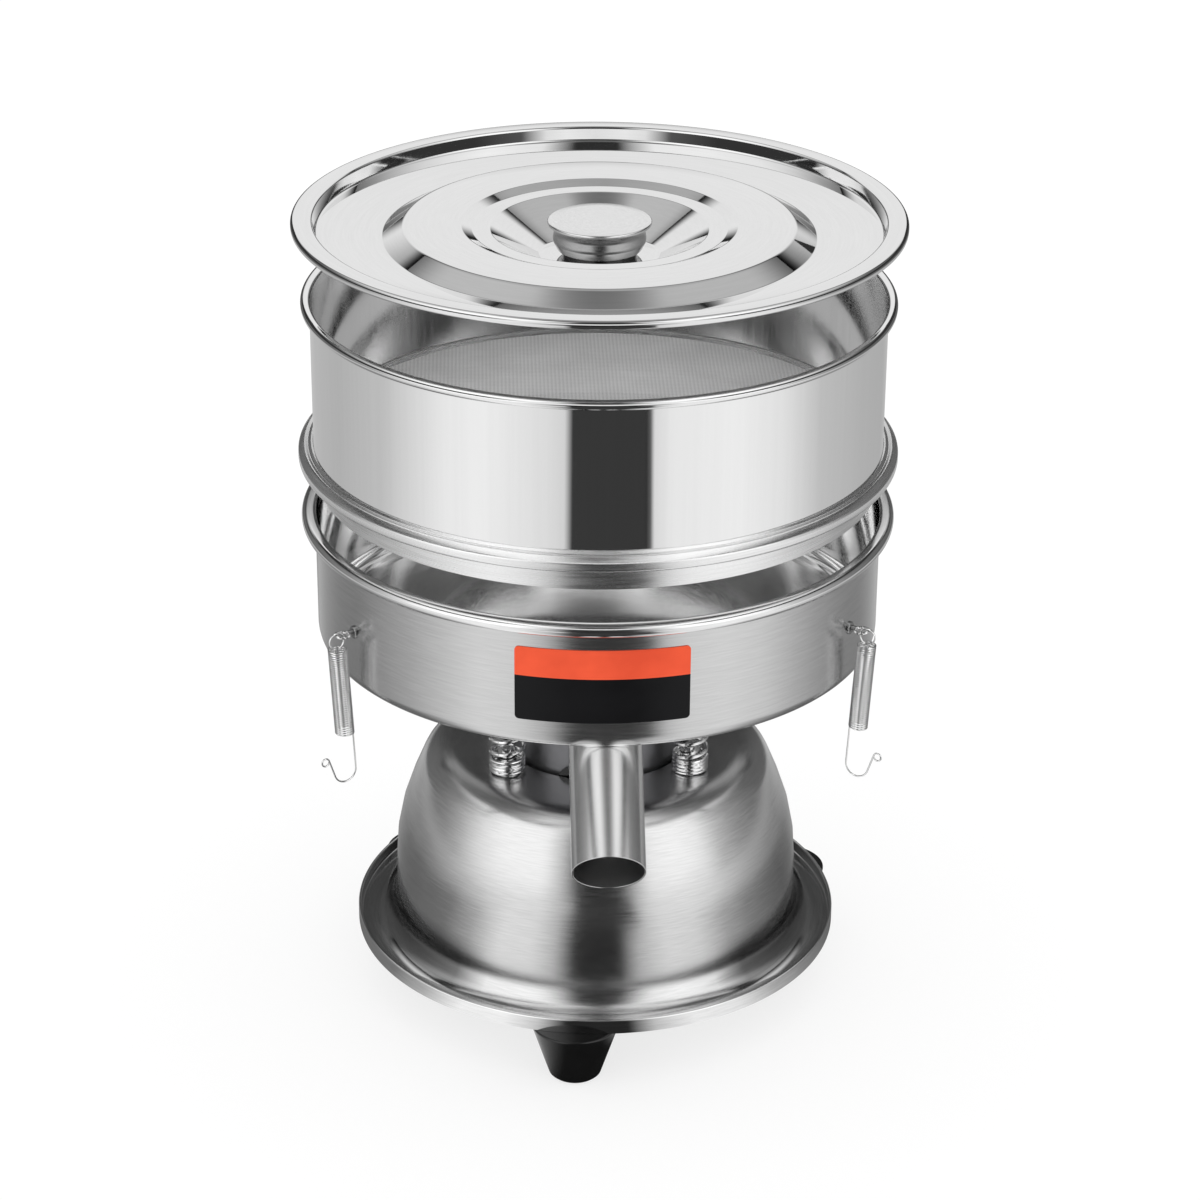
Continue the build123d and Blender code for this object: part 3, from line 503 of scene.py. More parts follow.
dome_points = [(50.5, 140.0, 0), (90.96, 140.0, 20), (110.7, 93.1, 120), (110.7, 34.0, 14)]
lip_points = [(131.0, 34.0, 0.9), (131.0, 40.0, 0.84), (132.7, 40.0, 0.84), (132.7, 32.0, 0)]
dome_line = rounded(dome_points + lip_points)
under_line = shifted(rounded(dome_points + [(131.9, 34.0, 0)]), -sheet)
base_shell = lathe("dome_and_tray", dome_line + [Vector((131.9, 32.0))] + under_line[::-1], dome_steel)


def box_tool(angle, radius, height, across, tall, deep):
    """A cutting box standing across the wall at this place."""
    shape = bmesh.new()
    bmesh.ops.create_cube(shape, size=mm)
    spot = Matrix.Translation(place(angle, radius, height)) @ turned_by(angle)
    bmesh.ops.transform(shape, matrix=spot @ Matrix.Diagonal((across, deep, tall, 1)), verts=shape.verts)
    return finished("tool", shape, dome_steel)


def bar_tool(radius, start, way, length):
    """A round cutting bar, from a start in millimetres along a direction."""
    shape = bmesh.new()
    spot = Matrix.Translation(start * mm) @ way.to_track_quat("Z", "Y").to_matrix().to_4x4()
    add_lathe(shape, [(0, 0), (radius, 0), (radius, length), (0, length)], small_segments, spot)
    return finished("tool", shape, dome_steel)


# The switch's hole at the rear, and the cord gland's beside it
cut(base_shell, box_tool(180, radius=108.0, height=64.0, across=15.0, tall=21.0, deep=20.0))
gland_turn, gland_start_r, gland_z = 210, 98, 60.0
gland_hole_r, gland_hole_length = 6.1, 24
gland_way = place(gland_turn, 1.0, 0).normalized()
gland_start = gland_way * gland_start_r + Vector((0, 0, gland_z))
cut(base_shell, bar_tool(gland_hole_r, gland_start, gland_way, gland_hole_length))


def second_material(piece, material, chosen):
    """Gives the piece's chosen faces another material."""
    piece.data.materials.append(material)
    index = len(piece.data.materials) - 1
    for face in piece.data.polygons:
        if chosen(face):
            face.material_index = index


tray_start_r = 118
lip_start_r, lip_start_z = 130.9, 39.1
skirt_start_r = 131.3
second_material(base_shell, tray_steel, lambda face: face.center.xy.length > tray_start_r * mm)
# The tray's lip and skirt get the lighter steel: painted highlight
second_material(base_shell, lit_skirt_steel, lambda face: face.center.xy.length > lip_start_r * mm
                and (face.center.z > lip_start_z * mm or face.center.xy.length > skirt_start_r * mm))
settle(base_shell, "base", "dome_steel", "base_shell")

foot_loop = rounded([
    (0, 31.9, 0), (23.4, 31.9, 0.8), (23.4, 30.6, 1.2), (14.0, 1.4, 1.2), (12.4, 0.0, 0.5),
    (7.0, 0.0, 0.8), (6.0, 6.0, 0.8), (0, 6.0, 0),
])
for i, angle in enumerate(foot_turns):
    shape = bmesh.new()
    add_lathe(shape, foot_loop, small_segments, Matrix.Translation(place(angle, foot_circle_r, 0)))
    foot = finished("rubber_foot_" + str(i + 1), shape, black_rubber)
    settle(foot, "base", "black_rubber", "foot_" + str(i + 1))


# Suspension springs: round wire, closed turns at both ends

spring_wire_r = 1.09
spring_middle_r = 8.9
spring_low = 140.0
spring_high = 207.5
spring_places = [(x, y) for y in (-38.2, 38.2) for x in (-49.2, 49.2)]
first_turn, turn_step = 1.3, 2.1    # where each spring's wire starts, in radians


def spring_path(x, y, start_turn):
    """The wire's centre line: four closed turns, seven open ones and one and a half closed ones."""
    path = []
    steps_per_turn = 30
    pitch = 2 * spring_wire_r
    closed_low, opened, closed_high = 4.0, 7.0, 1.5
    low = spring_low + spring_wire_r
    high = spring_high - spring_wire_r
    open_pitch = (high - low - pitch * (closed_low + closed_high)) / opened
    for i in range(round((closed_low + opened + closed_high) * steps_per_turn) + 1):
        turns = i / steps_per_turn
        rise = pitch * min(turns, closed_low)
        rise += open_pitch * min(max(turns - closed_low, 0), opened)
        rise += pitch * max(turns - closed_low - opened, 0)
        angle = start_turn + full_turn * turns
        path.append(Vector((x + spring_middle_r * math.cos(angle), y + spring_middle_r * math.sin(angle),
                            low + rise)))
    return path


for i, (x, y) in enumerate(spring_places):
    shape = bmesh.new()
    add_tube(shape, spring_path(x, y, first_turn + turn_step * i), spring_wire_r)
    spring = finished("coil_spring_" + str(i + 1), shape, spring_steel)
    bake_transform(spring)
    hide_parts("suspension_spring_" + str(i + 1))


# Pan and spout

pan_outer = [(0, 211.5, 0), (86, 211.5, 8), (136, pan_bottom_z, 8), (pan_r, pan_bottom_z, pan_corner_r)]
pan_loop = rounded(pan_outer + [
    (pan_r, 275.2, 0.8), (157.3, 275.2, 3.1), (157.3, pan_rim_z, 3.3), (pan_r - sheet, pan_rim_z, 2.4),
    (pan_r - sheet, 210.3, 7.2), (136, 210.3, 8), (86, 212.3, 8), (0, 212.3, 0),
])
pan = lathe("receiving_pan", pan_loop, pan_steel)
cut(pan, bar_tool(spout_inner_r, spout_end, spout_way, spout_length))

pan_inside_r, pan_inside_z = 149.6, 210.2
pan_bead_start_r = 150.9
facing_up = 0.2


def in_the_pan(face):
    """Whether a face of the pan is on its inside."""
    inwards = face.normal.z > facing_up or face.normal.dot(face.center) < 0
    return face.center.xy.length < pan_inside_r * mm and face.center.z > pan_inside_z * mm and inwards


# The pan's inside gets the lighter steel: painted light
second_material(pan, lit_pan_inner_steel, in_the_pan)
second_material(pan, rim_steel, lambda face: face.center.xy.length > pan_bead_start_r * mm)
settle(pan, "pan", "pan_steel", "pan")

# The loop of the spout's wall starts part of the way along, so not on a rounded end
spout_split = 60.0
spout_edge_r = 0.3
shape = bmesh.new()
spout_frame = Matrix.Translation(spout_end * mm) @ spout_way.to_track_quat("Z", "Y").to_matrix().to_4x4()
add_lathe(shape, rounded([
    (spout_inner_r, spout_split, 0), (spout_inner_r, 0, spout_edge_r), (spout_outer_r, 0, spout_edge_r),
    (spout_outer_r, spout_split, 0), (spout_outer_r, spout_length, 0), (spout_inner_r, spout_length, 0),
    (spout_inner_r, spout_split, 0),
])[:-1], spout_segments, spout_frame)
spout = finished("outlet_tube", shape, spout_steel)
above_pan = 300.0
envelope = lathe("tool", rounded(pan_outer + [(pan_r, above_pan, 0), (0, above_pan, 0)]), pan_steel)
cut(spout, envelope)
settle(spout, "pan", "pan_steel", "outlet_spout")


def inside_pan(point):
    """Whether a point in millimetres is inside the pan's outer face."""
    across = math.hypot(point.x, point.y)
    corner = Vector((pan_r - pan_corner_r, pan_bottom_z + pan_corner_r))
    if across > corner.x and point.z < corner.y:
        return math.hypot(across - corner.x, point.z - corner.y) < pan_corner_r
    return across < pan_r and point.z > pan_bottom_z


# The weld bead follows the seam, found by halving along the spout
weld_r = 0.75
weld_gap = 0.1
weld_points = 96
halvings = 24
seam = []
side_way = Vector((1, 0, 0))
up_way = side_way.cross(spout_way)
for i in range(weld_points):
    turn = full_turn * i / weld_points
    edge = (side_way * math.cos(turn) + up_way * math.sin(turn)) * (spout_outer_r + weld_gap)
    near, far = 0.0, spout_length
    for _ in range(halvings):
        middle = (near + far) / 2
        if inside_pan(spout_end + edge + spout_way * middle):
            far = middle
        else:
            near = middle
    seam.append(spout_end + edge + spout_way * near)
shape = bmesh.new()
add_tube(shape, seam, weld_r, weld_sides, closed=True)
weld = finished("spout_weld", shape, spout_steel)
settle(weld, "pan", "pan_steel")

# Blank label plate on the pan's front
label_low, label_split, label_high = 225.6, 250.0, 265.9
label_half = 44.5
label_turn = -0.9
label_corner = 2.2
label_radius = pan_r + 0.05
label_thickness = 0.35
label_pull_share = 0.98             # of the corner, the most that the plate's ends pull in
label_columns = 60


def label_reach(across):
    """How far the label's end pulls in at this distance from its middle."""
    past = abs(across) - (label_half - label_corner)
    return 0.0 if past <= 0 else label_corner - math.sqrt(max(label_corner ** 2 - past ** 2, 0.0))


shape = bmesh.new()
fronts, backs = [], []
for i in range(label_columns + 1):
    across = -label_half * math.cos(math.pi * i / label_columns)
    pull = min(label_reach(across), label_corner * label_pull_share)
    heights = (label_low + pull, label_split, label_high - pull)
    angle = label_turn + math.degrees(across / label_radius)
    fronts.append([shape.verts.new(place(angle, label_radius + label_thickness, z)) for z in heights])
    backs.append([shape.verts.new(place(angle, label_radius, z)) for z in heights])
for i in range(label_columns):
    for grid in (fronts, backs):
        for j in range(2):
            face = shape.faces.new((grid[i][j], grid[i + 1][j], grid[i + 1][j + 1], grid[i][j + 1]))
            face.material_index = j
    for j in (0, 2):
        face = shape.faces.new((fronts[i][j], fronts[i + 1][j], backs[i + 1][j], backs[i][j]))
        face.material_index = j // 2
for i in (0, label_columns):
    for j in range(2):
        face = shape.faces.new((fronts[i][j], fronts[i][j + 1], backs[i][j + 1], backs[i][j]))
        face.material_index = j
label = finished("blank_label", shape, label_black)
label.data.materials.append(label_orange)
settle(label, "pan", "black_plastic")


# Eyes and hook springs

eye_ring_centre_r = 157.2
eye_ring_r = 3.6
eye_wire_r = 0.85
eye_ring_points = 36
eye_shade_r = 152.4                  # nearer to the axis than this, the eye gets the darker steel: painted shade by the pan's wall
eye_shank = rounded([(0, 147.0, 0), (1.6, 147.0, 0.3), (1.6, 154.6, 0.3), (0, 154.6, 0)])
eye_collar = rounded([(1.7, pan_r, 0), (3.4, pan_r, 0), (3.4, pan_r + 1.2, 0.5), (1.7, pan_r + 1.2, 0)])
eye_nut = [(1.7, 148.0), (3.4, 148.0), (3.4, 149.3), (1.7, 149.3)]


def add_eye(shape, angle):
    """A threaded eye in the pan's wall: nut, collar, shank and a round ring."""
    lying = Matrix.Rotation(math.radians(90), 4, "X")
    outward = turned_by(angle) @ Matrix.Translation(Vector((0, 0, eye_z)) * mm) @ lying
    add_lathe(shape, eye_shank, shank_segments, outward)
    add_lathe(shape, eye_collar, collar_segments, outward)
    add_lathe(shape, eye_nut, nut_sides, outward)
    centre = place(angle, eye_ring_centre_r, eye_z) / mm
    turns = [full_turn * i / eye_ring_points for i in range(eye_ring_points)]
    ring = [centre + Vector((eye_ring_r * math.cos(turn), eye_ring_r * math.sin(turn), 0)) for turn in turns]
    add_tube(shape, ring, eye_wire_r, closed=True)


shape = bmesh.new()
for angle in hook_turns:
    add_eye(shape, angle)
eyes = finished("threaded_eyes", shape, wire_steel)
# The eyes' parts by the pan's wall get the darker steel: painted shade
second_material(eyes, shaded_steel, lambda face: face.center.xy.length < eye_shade_r * mm)
settle(eyes, "pan", "spring_steel", "eye_bolts")

# A hook spring from its pivot down: loop, close-wound coil, straight leg, bend, tip and a small curl
hook_pivot_r = 160.8
hook_lean = 3.5
hook_wire_r = 0.45
loop_centre, loop_r, loop_start, loop_turn, loop_points = (0, -2.55), 4.2, -60, 320, 40
coil_r, coil_top, coil_low, coil_pitch, coil_steps = 4.7, -7.25, -56.25, 1.3, 24
leg_top, leg_end = -58.0, -78.6
bend_r, bend_centre_x, bend_turn, bend_points = 6.4, 1.7, 165, 22
tip_length = 11.0
curl_r, curl_turn, curl_points = 2.1, -335, 28


def arc_points(centre, radius, start, turn, count):
    """Points of an arc as (outward, 0, up), angles in degrees from outward towards up."""
    points = []
    for i in range(count + 1):
        angle = math.radians(start + turn * i / count)
        points.append((centre[0] + radius * math.cos(angle), 0.0, centre[1] + radius * math.sin(angle)))
    return points


def hook_path():
    """A hook spring's wire below its pivot, as (outward, sideways, up) from the pivot."""
    path = arc_points(loop_centre, loop_r, loop_start, loop_turn, loop_points)[::-1]
    turns = (coil_top - coil_low) / coil_pitch
    count = round(turns * coil_steps)
    total = full_turn * turns
    start = math.pi - total
    for i in range(count + 1):
        angle = start + total * i / count
        path.append((coil_r * math.cos(angle), coil_r * math.sin(angle),
                     coil_top - coil_pitch * turns * i / count))
    path.append((-coil_r, 0.0, leg_top))
    path.append((-coil_r, 0.0, leg_end))
    bend = arc_points((bend_centre_x, leg_end), bend_r, 180, bend_turn, bend_points)
    path += bend[1:]
    across = math.radians(180 + bend_turn)
    way = (-math.sin(across), 0.0, math.cos(across))
    tip = tuple(bend[-1][k] + way[k] * tip_length for k in range(3))
    path.append(tip)
    centre = (tip[0] + math.cos(across) * curl_r, tip[2] + math.sin(across) * curl_r)
    path += arc_points(centre, curl_r, math.degrees(across) + 180, curl_turn, curl_points)[1:]
    return [Vector(point) for point in path]


lean = Matrix.Rotation(math.radians(hook_lean), 3, "Y")
to_outward = turned_by(-90, 3)
for i, angle in enumerate(hook_turns):
    turn = turned_by(angle, 3)
    pivot = place(angle, hook_pivot_r, eye_z) / mm
    shape = bmesh.new()
    add_tube(shape, [pivot + turn @ (to_outward @ (lean @ point)) for point in hook_path()], hook_wire_r)
    hook = finished("tension_spring_" + str(i + 1), shape, spring_steel)
    settle(hook, "hook_" + str(i + 1), "spring_steel", "hook_spring_" + str(i + 1))


# Drum

drum = lathe("drum_shell", rounded([
    (drum_r - sheet, 312.4, 0), (drum_r, 312.4, 0), (drum_r, 395.0, 0.4), (154.6, 395.0, 2.3),
    (154.6, drum_top_z, 2.4), (drum_r - sheet, drum_top_z, 2.3), (drum_r - sheet, 312.4, 0),
])[:-1], drum_steel)
drum_inside_r = 149.4
second_material(drum, drum_inner_steel, lambda face: face.center.xy.length < drum_inside_r * mm)
settle(drum, "sieve", "drum_steel", "drum_wall")

flange = lathe("drum_foot_ring", rounded([
    (147.4, 298.3, 0.35), (148.2, 298.3, 0.35), (148.2, 311.5, 0.8), (158.0, 311.5, 1.8), (158.0, 316.4, 2.2),
    (155.0, 319.8, 1.6), (152.7, 319.2, 0.9), (151.4, 320.7, 0.5), (150.1, 320.7, 0.3), (150.1, 312.3, 0),
    (149.1, 312.3, 0), (149.1, 320.7, 0), (147.4, 320.7, 0.3), (147.4, 298.3, 0),
])[:-1], flange_steel)
settle(flange, "sieve", "drum_steel", "drum_flange")

ring = lathe("mesh_clamp_ring", rounded([
    (146.7, 321.2, 0.3), (149.1, 321.2, 0), (149.1, 324.2, 0.8), (146.7, 324.2, 0.8), (146.7, 321.2, 0),
])[:-1], flange_steel)
settle(ring, "sieve", "drum_steel", "mesh_ring")

# Woven wire: two crossing layers of thin straight wires, each diamond-shaped across
wire_pitch = 0.65
wire_half = 0.17
wire_rise = 0.12
layer_start, layer_step = 0.125, 0.25
mesh_edge = 1.0
shape = bmesh.new()
wire_count = math.floor((mesh_r - mesh_edge) / wire_pitch)
for layer in range(2):
    middle_z = mesh_low_z + layer_start + layer_step * layer
    for i in range(-wire_count, wire_count + 1):
        offset = i * wire_pitch
        reach = math.sqrt(mesh_r ** 2 - offset ** 2)
        corners = [(offset - wire_half, middle_z), (offset, middle_z + wire_rise),
                   (offset + wire_half, middle_z), (offset, middle_z - wire_rise)]
        ends = []
        for end in (-reach, reach):
            spots = [(end, across, up) if layer else (across, end, up) for across, up in corners]
            ends.append([shape.verts.new(Vector(spot) * mm) for spot in spots])
        for k in range(4):
            shape.faces.new((ends[0][k], ends[0][(k + 1) % 4], ends[1][(k + 1) % 4], ends[1][k]))
        shape.faces.new(ends[0])
        shape.faces.new(ends[1][::-1])
screen = finished("woven_mesh", shape, mesh_steel)
# These stay out of the reflections in the drum's and the pan's inside
for piece in (flange, ring, screen):
    piece.visible_glossy = False
settle(screen, "sieve", "mesh_steel", "mesh_screen")


# Lid

lid_line = rounded([
    (0, 420.0, 0), (31.0, 420.0, 3.0), (56.5, 435.0, 2.0), (65.5, 435.0, 2.5), (71.5, 437.5, 3.0),
    (100.5, 437.5, 5.0), (112.0, 431.0, 2.0), (146.0, 434.5, 1.5), (147.4, lid_rim_z, 1.5),
    (158.4, lid_rim_z, 2.0), (158.4, 438.0, 1.2), (155.4, 438.0, 0),
])
lid_loop = lid_line + shifted(lid_line, -sheet)[::-1]
lid = lathe("lid_sheet", lid_loop, lid_steel, lid_segments)
lid.visible_diffuse = False
facing_down = -0.5
lid_curl_start_r = 154
# The lid's underside gets the rougher steel, whose lighter tone is painted light
second_material(lid, lit_underside_steel, lambda face: face.normal.z < facing_down
                and face.center.xy.length < lid_curl_start_r * mm)
settle(lid, "lid", "lid_steel", "lid_shell")

knob = lathe("lid_grip", rounded([
    (0, 423.0, 0), (21.5, 423.0, 2.5), (24.3, 428.5, 5), (23.4, 433.6, 5), (24.8, 436.9, 0.6),
    (27.0, 436.9, 0.8), (27.0, 438.9, 0.9), (22.0, 439.15, 6), (0, 439.2, 0),
]), knob_steel, knob_segments)
knob_top_z = 436.5
# The neck under the knob's cap gets the darker steel: painted shade
second_material(knob, shaded_steel, lambda face: face.center.z < knob_top_z * mm)
settle(knob, "lid", "knob_steel", "lid_knob")


# CAD nodes that stay, with better materials

kept = {
    "bottom_cover": dome_steel, "foot_screws": screw_steel, "spring_posts": wire_steel,
    "switch_body": black_plastic, "switch_rocker": rocker_plastic, "cord_gland": black_rubber,
    "run_capacitor": can_aluminium, "capacitor_strap": screw_steel, "terminal_block": white_plastic,
    "motor_plate": motor_paint, "spring_caps": wire_steel, "motor_housing": motor_paint,
    "housing_cap": motor_paint, "motor_lead_grommet": black_rubber, "motor_bolts": screw_steel,
    "upper_bracket": cast_metal, "lower_bracket": cast_metal, "upper_bearing": screw_steel,
    "lower_bearing": screw_steel, "stator_core": cast_metal, "stator_winding": copper,
    "motor_shaft": screw_steel, "rotor_core": cast_metal, "upper_weight": cast_metal,
    "lower_weight": cast_metal, "weight_screws": screw_steel, "knob_base": black_rubber,
    "knob_screw": screw_steel,
}
for name, material in kept.items():
    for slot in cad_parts[name].material_slots:
        slot.material = material


# Rear board, band, floor, world and camera

def emitter(nodes, strength):
    """Plain white light."""
    light = node(nodes, "Emission")
    light.inputs["Strength"].default_value = strength
    light.inputs["Color"].default_value = (1, 1, 1, 1)
    return light


def chosen_by_ray(nodes, links, path, ray, others, these):
    """A mix that gives one shader to this kind of ray, and the other to the other rays."""
    chosen = node(nodes, "MixShader")
    links.new(path.outputs[ray], chosen.inputs["Fac"])
    links.new(others.outputs[0], chosen.inputs[1])
    links.new(these.outputs[0], chosen.inputs[2])
    return chosen


def card(name, angle, distance, low, high, width, strength, edge):
    """A soft box for glossy rays, brightest in its middle. It fades over its edge's share of its half."""
    shape = bmesh.new()
    spot = Matrix.Translation(place(angle, distance, (low + high) / 2)) @ turned_by(angle)
    corners = [(-1, -1), (1, -1), (1, 1), (-1, 1)]
    half_size = Vector((width, 0, high - low)) * mm / 2
    face = shape.faces.new([shape.verts.new(spot @ (half_size * Vector((u, 0, v)))) for u, v in corners])
    uv = shape.loops.layers.uv.new("UVMap")
    for loop, (u, v) in zip(face.loops, corners):
        loop[uv].uv = (u, v)
    material = bpy.data.materials.new(name)
    material.use_nodes = True
    nodes, links = material.node_tree.nodes, material.node_tree.links
    nodes.clear()
    output = node(nodes, "OutputMaterial")
    light = emitter(nodes, strength)
    links.new(light.outputs[0], output.inputs["Surface"])
    coordinates = node(nodes, "TexCoord")
    parts = node(nodes, "SeparateXYZ")
    links.new(coordinates.outputs["UV"], parts.inputs[0])
    falls = []
    for axis in ("X", "Y"):
        size = node(nodes, "Math", operation="ABSOLUTE")
        links.new(parts.outputs[axis], size.inputs[0])
        falls.append(ranged(nodes, links, size.outputs[0], 1.0, 0.0, 1 - edge, 1.0, "SMOOTHSTEP"))
    product = node(nodes, "Math", operation="MULTIPLY")
    links.new(falls[0], product.inputs[0])
    links.new(falls[1], product.inputs[1])
    scaled = node(nodes, "Math", operation="MULTIPLY")
    links.new(product.outputs[0], scaled.inputs[0])
    scaled.inputs[1].default_value = strength
    links.new(scaled.outputs[0], light.inputs["Strength"])
    board = finished(name, shape, material, smooth=False)
    board.visible_camera = False
    board.visible_diffuse = False


card("rear_board", 180, distance=560, low=470, high=900, width=1150, strength=0.92, edge=0.55)


def turn_share(nodes, links, turn):
    """An angle from -180 to 180 degrees as a share from 0 to 1."""
    return ranged(nodes, links, turn, 0.0, 1.0, -math.pi, math.pi)


def tones_round(nodes, links, share, stops):
    """Grey tones by angle round the object, from (angle, tone) stops."""
    ramp = node(nodes, "ValToRGB")
    links.new(share, ramp.inputs["Fac"])
    elements = ramp.color_ramp.elements
    for angle, tone in stops[1:-1]:
        element = elements.new((angle + 180) / 360)
        element.color = (tone, tone, tone, 1)
    elements[0].color = (stops[0][1],) * 3 + (1,)
    elements[-1].color = (stops[-1][1],) * 3 + (1,)
    return ramp.outputs["Color"]


def mixed_tones(nodes, links, source, start, end, first, second):
    """The first tones up to a start value of the source, and the second from its end value."""
    share = ranged(nodes, links, source, 0.0, 1.0, start, end, "SMOOTHSTEP")
    tones = node(nodes, "Mix", data_type="RGBA")
    links.new(share, tones.inputs["Factor"])
    links.new(first, tones.inputs[mix_first])
    links.new(second, tones.inputs[mix_second])
    return tones.outputs[mix_result]


# What bare steel mirrors: two bright sides with a dark gap between them in front, on the table and
# above it, and a darker room behind
near_stops = [
    (-180, 0.04), (-162, 0.06), (-150, 0.4), (-135, 0.3), (-120, 0.18), (-105, 0.15), (-90, 0.17),
    (-75, 0.2), (-60, 0.47), (-45, 1.0), (-30, 0.97), (-20, 0.65), (-14, 0.2), (-11, 0.02), (9, 0.02),
    (17, 0.6), (30, 0.95), (45, 0.88), (60, 0.45), (75, 0.26), (90, 0.17), (105, 0.12), (120, 0.18),
    (140, 0.4), (150, 0.4), (162, 0.06), (180, 0.04),
]
middle_stops = [
    (-180, 0.04), (-163, 0.06), (-150, 0.55), (-135, 0.38), (-120, 0.28), (-105, 0.25), (-90, 0.38),
    (-75, 0.52), (-60, 0.75), (-45, 1.0), (-30, 0.95), (-19, 0.6), (-12, 0.05), (17, 0.04), (22, 0.75),
    (30, 0.95), (45, 1.0), (60, 0.9), (75, 0.62), (90, 0.42), (105, 0.3), (120, 0.28), (135, 0.42),
    (150, 0.6), (163, 0.06), (180, 0.04),
]
far_stops = [
    (-180, 0.6), (-150, 0.52), (-120, 0.5), (-90, 0.6), (-75, 0.78), (-60, 0.95), (-45, 1.0),
    (-20, 0.84), (-13, 0.74), (-12.3, 0.045), (15.4, 0.045), (15.8, 0.012), (16.8, 0.012), (17.3, 0.8),
    (25, 0.94), (50, 1.0), (70, 0.88), (90, 0.6), (120, 0.5), (145, 0.45), (180, 0.6),
]
sky_stops = [
    (-180, 0.04), (-165, 0.05), (-150, 0.11), (-120, 0.14), (-105, 0.22), (-90, 0.42), (-75, 0.78),
    (-60, 0.98), (-32, 1.0), (-21, 0.55), (-12, 0.02), (12, 0.03), (20, 0.45), (29, 0.92), (45, 1.0),
    (62, 0.9), (75, 0.5), (90, 0.28), (105, 0.17), (120, 0.11), (150, 0.1), (165, 0.05), (180, 0.04),
]
high_stops = [
    (-180, 0.3), (-150, 0.42), (-125, 0.55), (-108, 0.75), (-90, 0.9), (-60, 0.98), (-32, 0.95),
    (-20, 0.45), (-12, 0.03), (12, 0.03), (20, 0.4), (30, 0.9), (60, 1.0), (85, 0.85), (105, 0.65),
    (122, 0.5), (150, 0.38), (180, 0.3),
]
sky_strength = 1.3
soft_light = 1.35                   # what diffuse surfaces get from all sides
overhead_tone = 0.13

# A dark band round the lid's level with a bright middle in front, for the lid's well to mirror
band_r = 360.0
band_low, band_high = 437.0, 550.0
band_half_turn = 138
band_step = 3
band_stops = [
    (-180, 0.03), (-60, 0.04), (-36, 0.1), (-24, 0.9), (-14, 1.0), (0, 0.9), (14, 1.0), (24, 0.9),
    (36, 0.1), (60, 0.04), (180, 0.03),
]
shape = bmesh.new()
angles = range(-band_half_turn, band_half_turn + 1, band_step)
for a, b in zip(angles, angles[1:]):
    corners = [place(a, band_r, band_low), place(b, band_r, band_low), place(b, band_r, band_high),
               place(a, band_r, band_high)]
    shape.faces.new([shape.verts.new(corner) for corner in corners])
band_material = bpy.data.materials.new("band")
band_material.use_nodes = True
nodes, links = band_material.node_tree.nodes, band_material.node_tree.links
nodes.clear()
share = turn_share(nodes, links, cylinder_parts(nodes, links).outputs["X"])
light = emitter(nodes, 1.0)
links.new(tones_round(nodes, links, share, band_stops), light.inputs["Color"])
links.new(light.outputs[0], node(nodes, "OutputMaterial").inputs["Surface"])
band = finished("band", shape, band_material, smooth=False)
band.visible_camera = False
band.visible_diffuse = False

# The floor: near white with the object's shadow for the camera, pale for diffuse light, and tones
# by angle and distance for what mirrors it. These sizes are in metres.
floor_half = 6.0
floor_tone = 0.8
seen_tone, seen_light = 0.28, 0.74
near_end, middle_start = 0.33, 0.45
middle_end, far_start = 0.70, 0.82
far_end, sky_start = 1.25, 1.7
floor_spot = Matrix.Translation((0, 0, -floor_gap * mm))
shape = bmesh.new()
bmesh.ops.create_grid(shape, x_segments=1, y_segments=1, size=floor_half, matrix=floor_spot)
floor_material = bpy.data.materials.new("floor")
floor_material.use_nodes = True
nodes, links = floor_material.node_tree.nodes, floor_material.node_tree.links
nodes.clear()
output = node(nodes, "OutputMaterial")
path = node(nodes, "LightPath")
diffuse = node(nodes, "BsdfDiffuse")
diffuse.inputs["Color"].default_value = (floor_tone, floor_tone, floor_tone, 1)
shaded = node(nodes, "BsdfDiffuse")
shaded.inputs["Color"].default_value = (seen_tone, seen_tone, seen_tone, 1)
seen = node(nodes, "AddShader")
links.new(shaded.outputs[0], seen.inputs[0])
links.new(emitter(nodes, seen_light).outputs[0], seen.inputs[1])
parts = cylinder_parts(nodes, links)
share = turn_share(nodes, links, parts.outputs["X"])
near, middle, far, sky = [tones_round(nodes, links, share, stops)
                          for stops in (near_stops, middle_stops, far_stops, sky_stops)]
tones = mixed_tones(nodes, links, parts.outputs["Y"], near_end, middle_start, near, middle)
tones = mixed_tones(nodes, links, parts.outputs["Y"], middle_end, far_start, tones, far)
tones = mixed_tones(nodes, links, parts.outputs["Y"], far_end, sky_start, tones, sky)
mirrored = emitter(nodes, 1.0)
links.new(tones, mirrored.inputs["Color"])
glossy = chosen_by_ray(nodes, links, path, "Is Glossy Ray", diffuse, mirrored)
chosen = chosen_by_ray(nodes, links, path, "Is Camera Ray", glossy, seen)
links.new(chosen.outputs[0], output.inputs["Surface"])
floor = finished("floor", shape, floor_material, smooth=False)

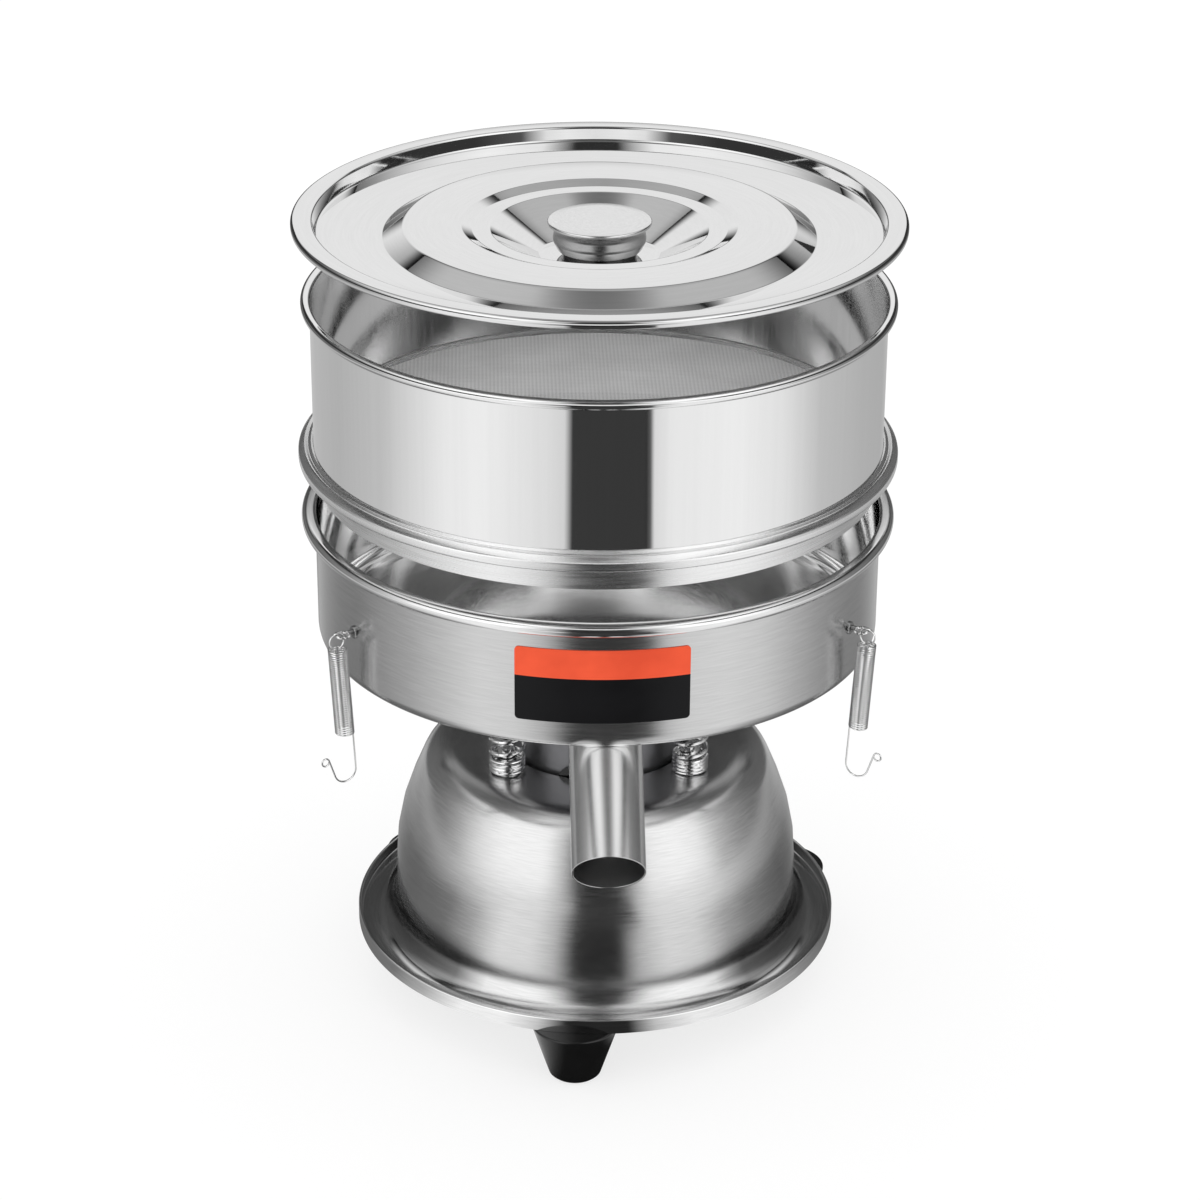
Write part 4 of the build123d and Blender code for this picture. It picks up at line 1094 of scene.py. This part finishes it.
# The world: white for the camera, even light for diffuse surfaces, and the sky's tones for glossy
# ones, by height on a ball of radius 1
low_sky_end, high_sky_start = 0.5, 0.72
high_sky_end, overhead_start = 0.92, 0.98
world = bpy.data.worlds.new("studio")
bpy.context.scene.world = world
world.use_nodes = True
nodes, links = world.node_tree.nodes, world.node_tree.links
nodes.clear()
output = node(nodes, "OutputWorld")
path = node(nodes, "LightPath")
white = node(nodes, "Background")
white.inputs["Color"].default_value = (1, 1, 1, 1)
white.inputs["Strength"].default_value = 1.0
room = node(nodes, "Background")
room.inputs["Strength"].default_value = sky_strength
coordinates = node(nodes, "TexCoord")
parts = node(nodes, "SeparateXYZ")
links.new(coordinates.outputs["Generated"], parts.inputs[0])
share = turn_share(nodes, links, turn_of(nodes, links, parts))
low_sky = tones_round(nodes, links, share, sky_stops)
high_sky = tones_round(nodes, links, share, high_stops)
sky = mixed_tones(nodes, links, parts.outputs["Z"], low_sky_end, high_sky_start, low_sky, high_sky)
overhead = node(nodes, "RGB")
overhead.outputs[0].default_value = (overhead_tone, overhead_tone, overhead_tone, 1)
tones = mixed_tones(nodes, links, parts.outputs["Z"], high_sky_end, overhead_start, sky,
                    overhead.outputs[0])
links.new(tones, room.inputs["Color"])
soft = node(nodes, "Background")
soft.inputs["Strength"].default_value = soft_light
lit = chosen_by_ray(nodes, links, path, "Is Glossy Ray", soft, room)
chosen = chosen_by_ray(nodes, links, path, "Is Camera Ray", lit, white)
links.new(chosen.outputs[0], output.inputs["Surface"])

# The camera, where the photograph was taken from
frame_width = 1200                  # in pixels
focal_length = 3445                 # in pixels
camera_turn, camera_tilt, camera_roll = -2.1, 90 - 25.19, 0.4
camera_spot = (0.0015, -1.683, 1.0147)
camera = bpy.data.objects.new("camera", bpy.data.cameras.new("camera"))
bpy.context.scene.collection.objects.link(camera)
camera.data.sensor_width = 36.0
camera.data.lens = camera.data.sensor_width * focal_length / frame_width
camera.matrix_world = (turned_by(camera_turn) @ Matrix.Translation(camera_spot)
                       @ Matrix.Rotation(math.radians(camera_tilt), 4, "X") @ turned_by(camera_roll))
bpy.context.scene.camera = camera
bpy.context.scene.view_settings.view_transform = "Standard"
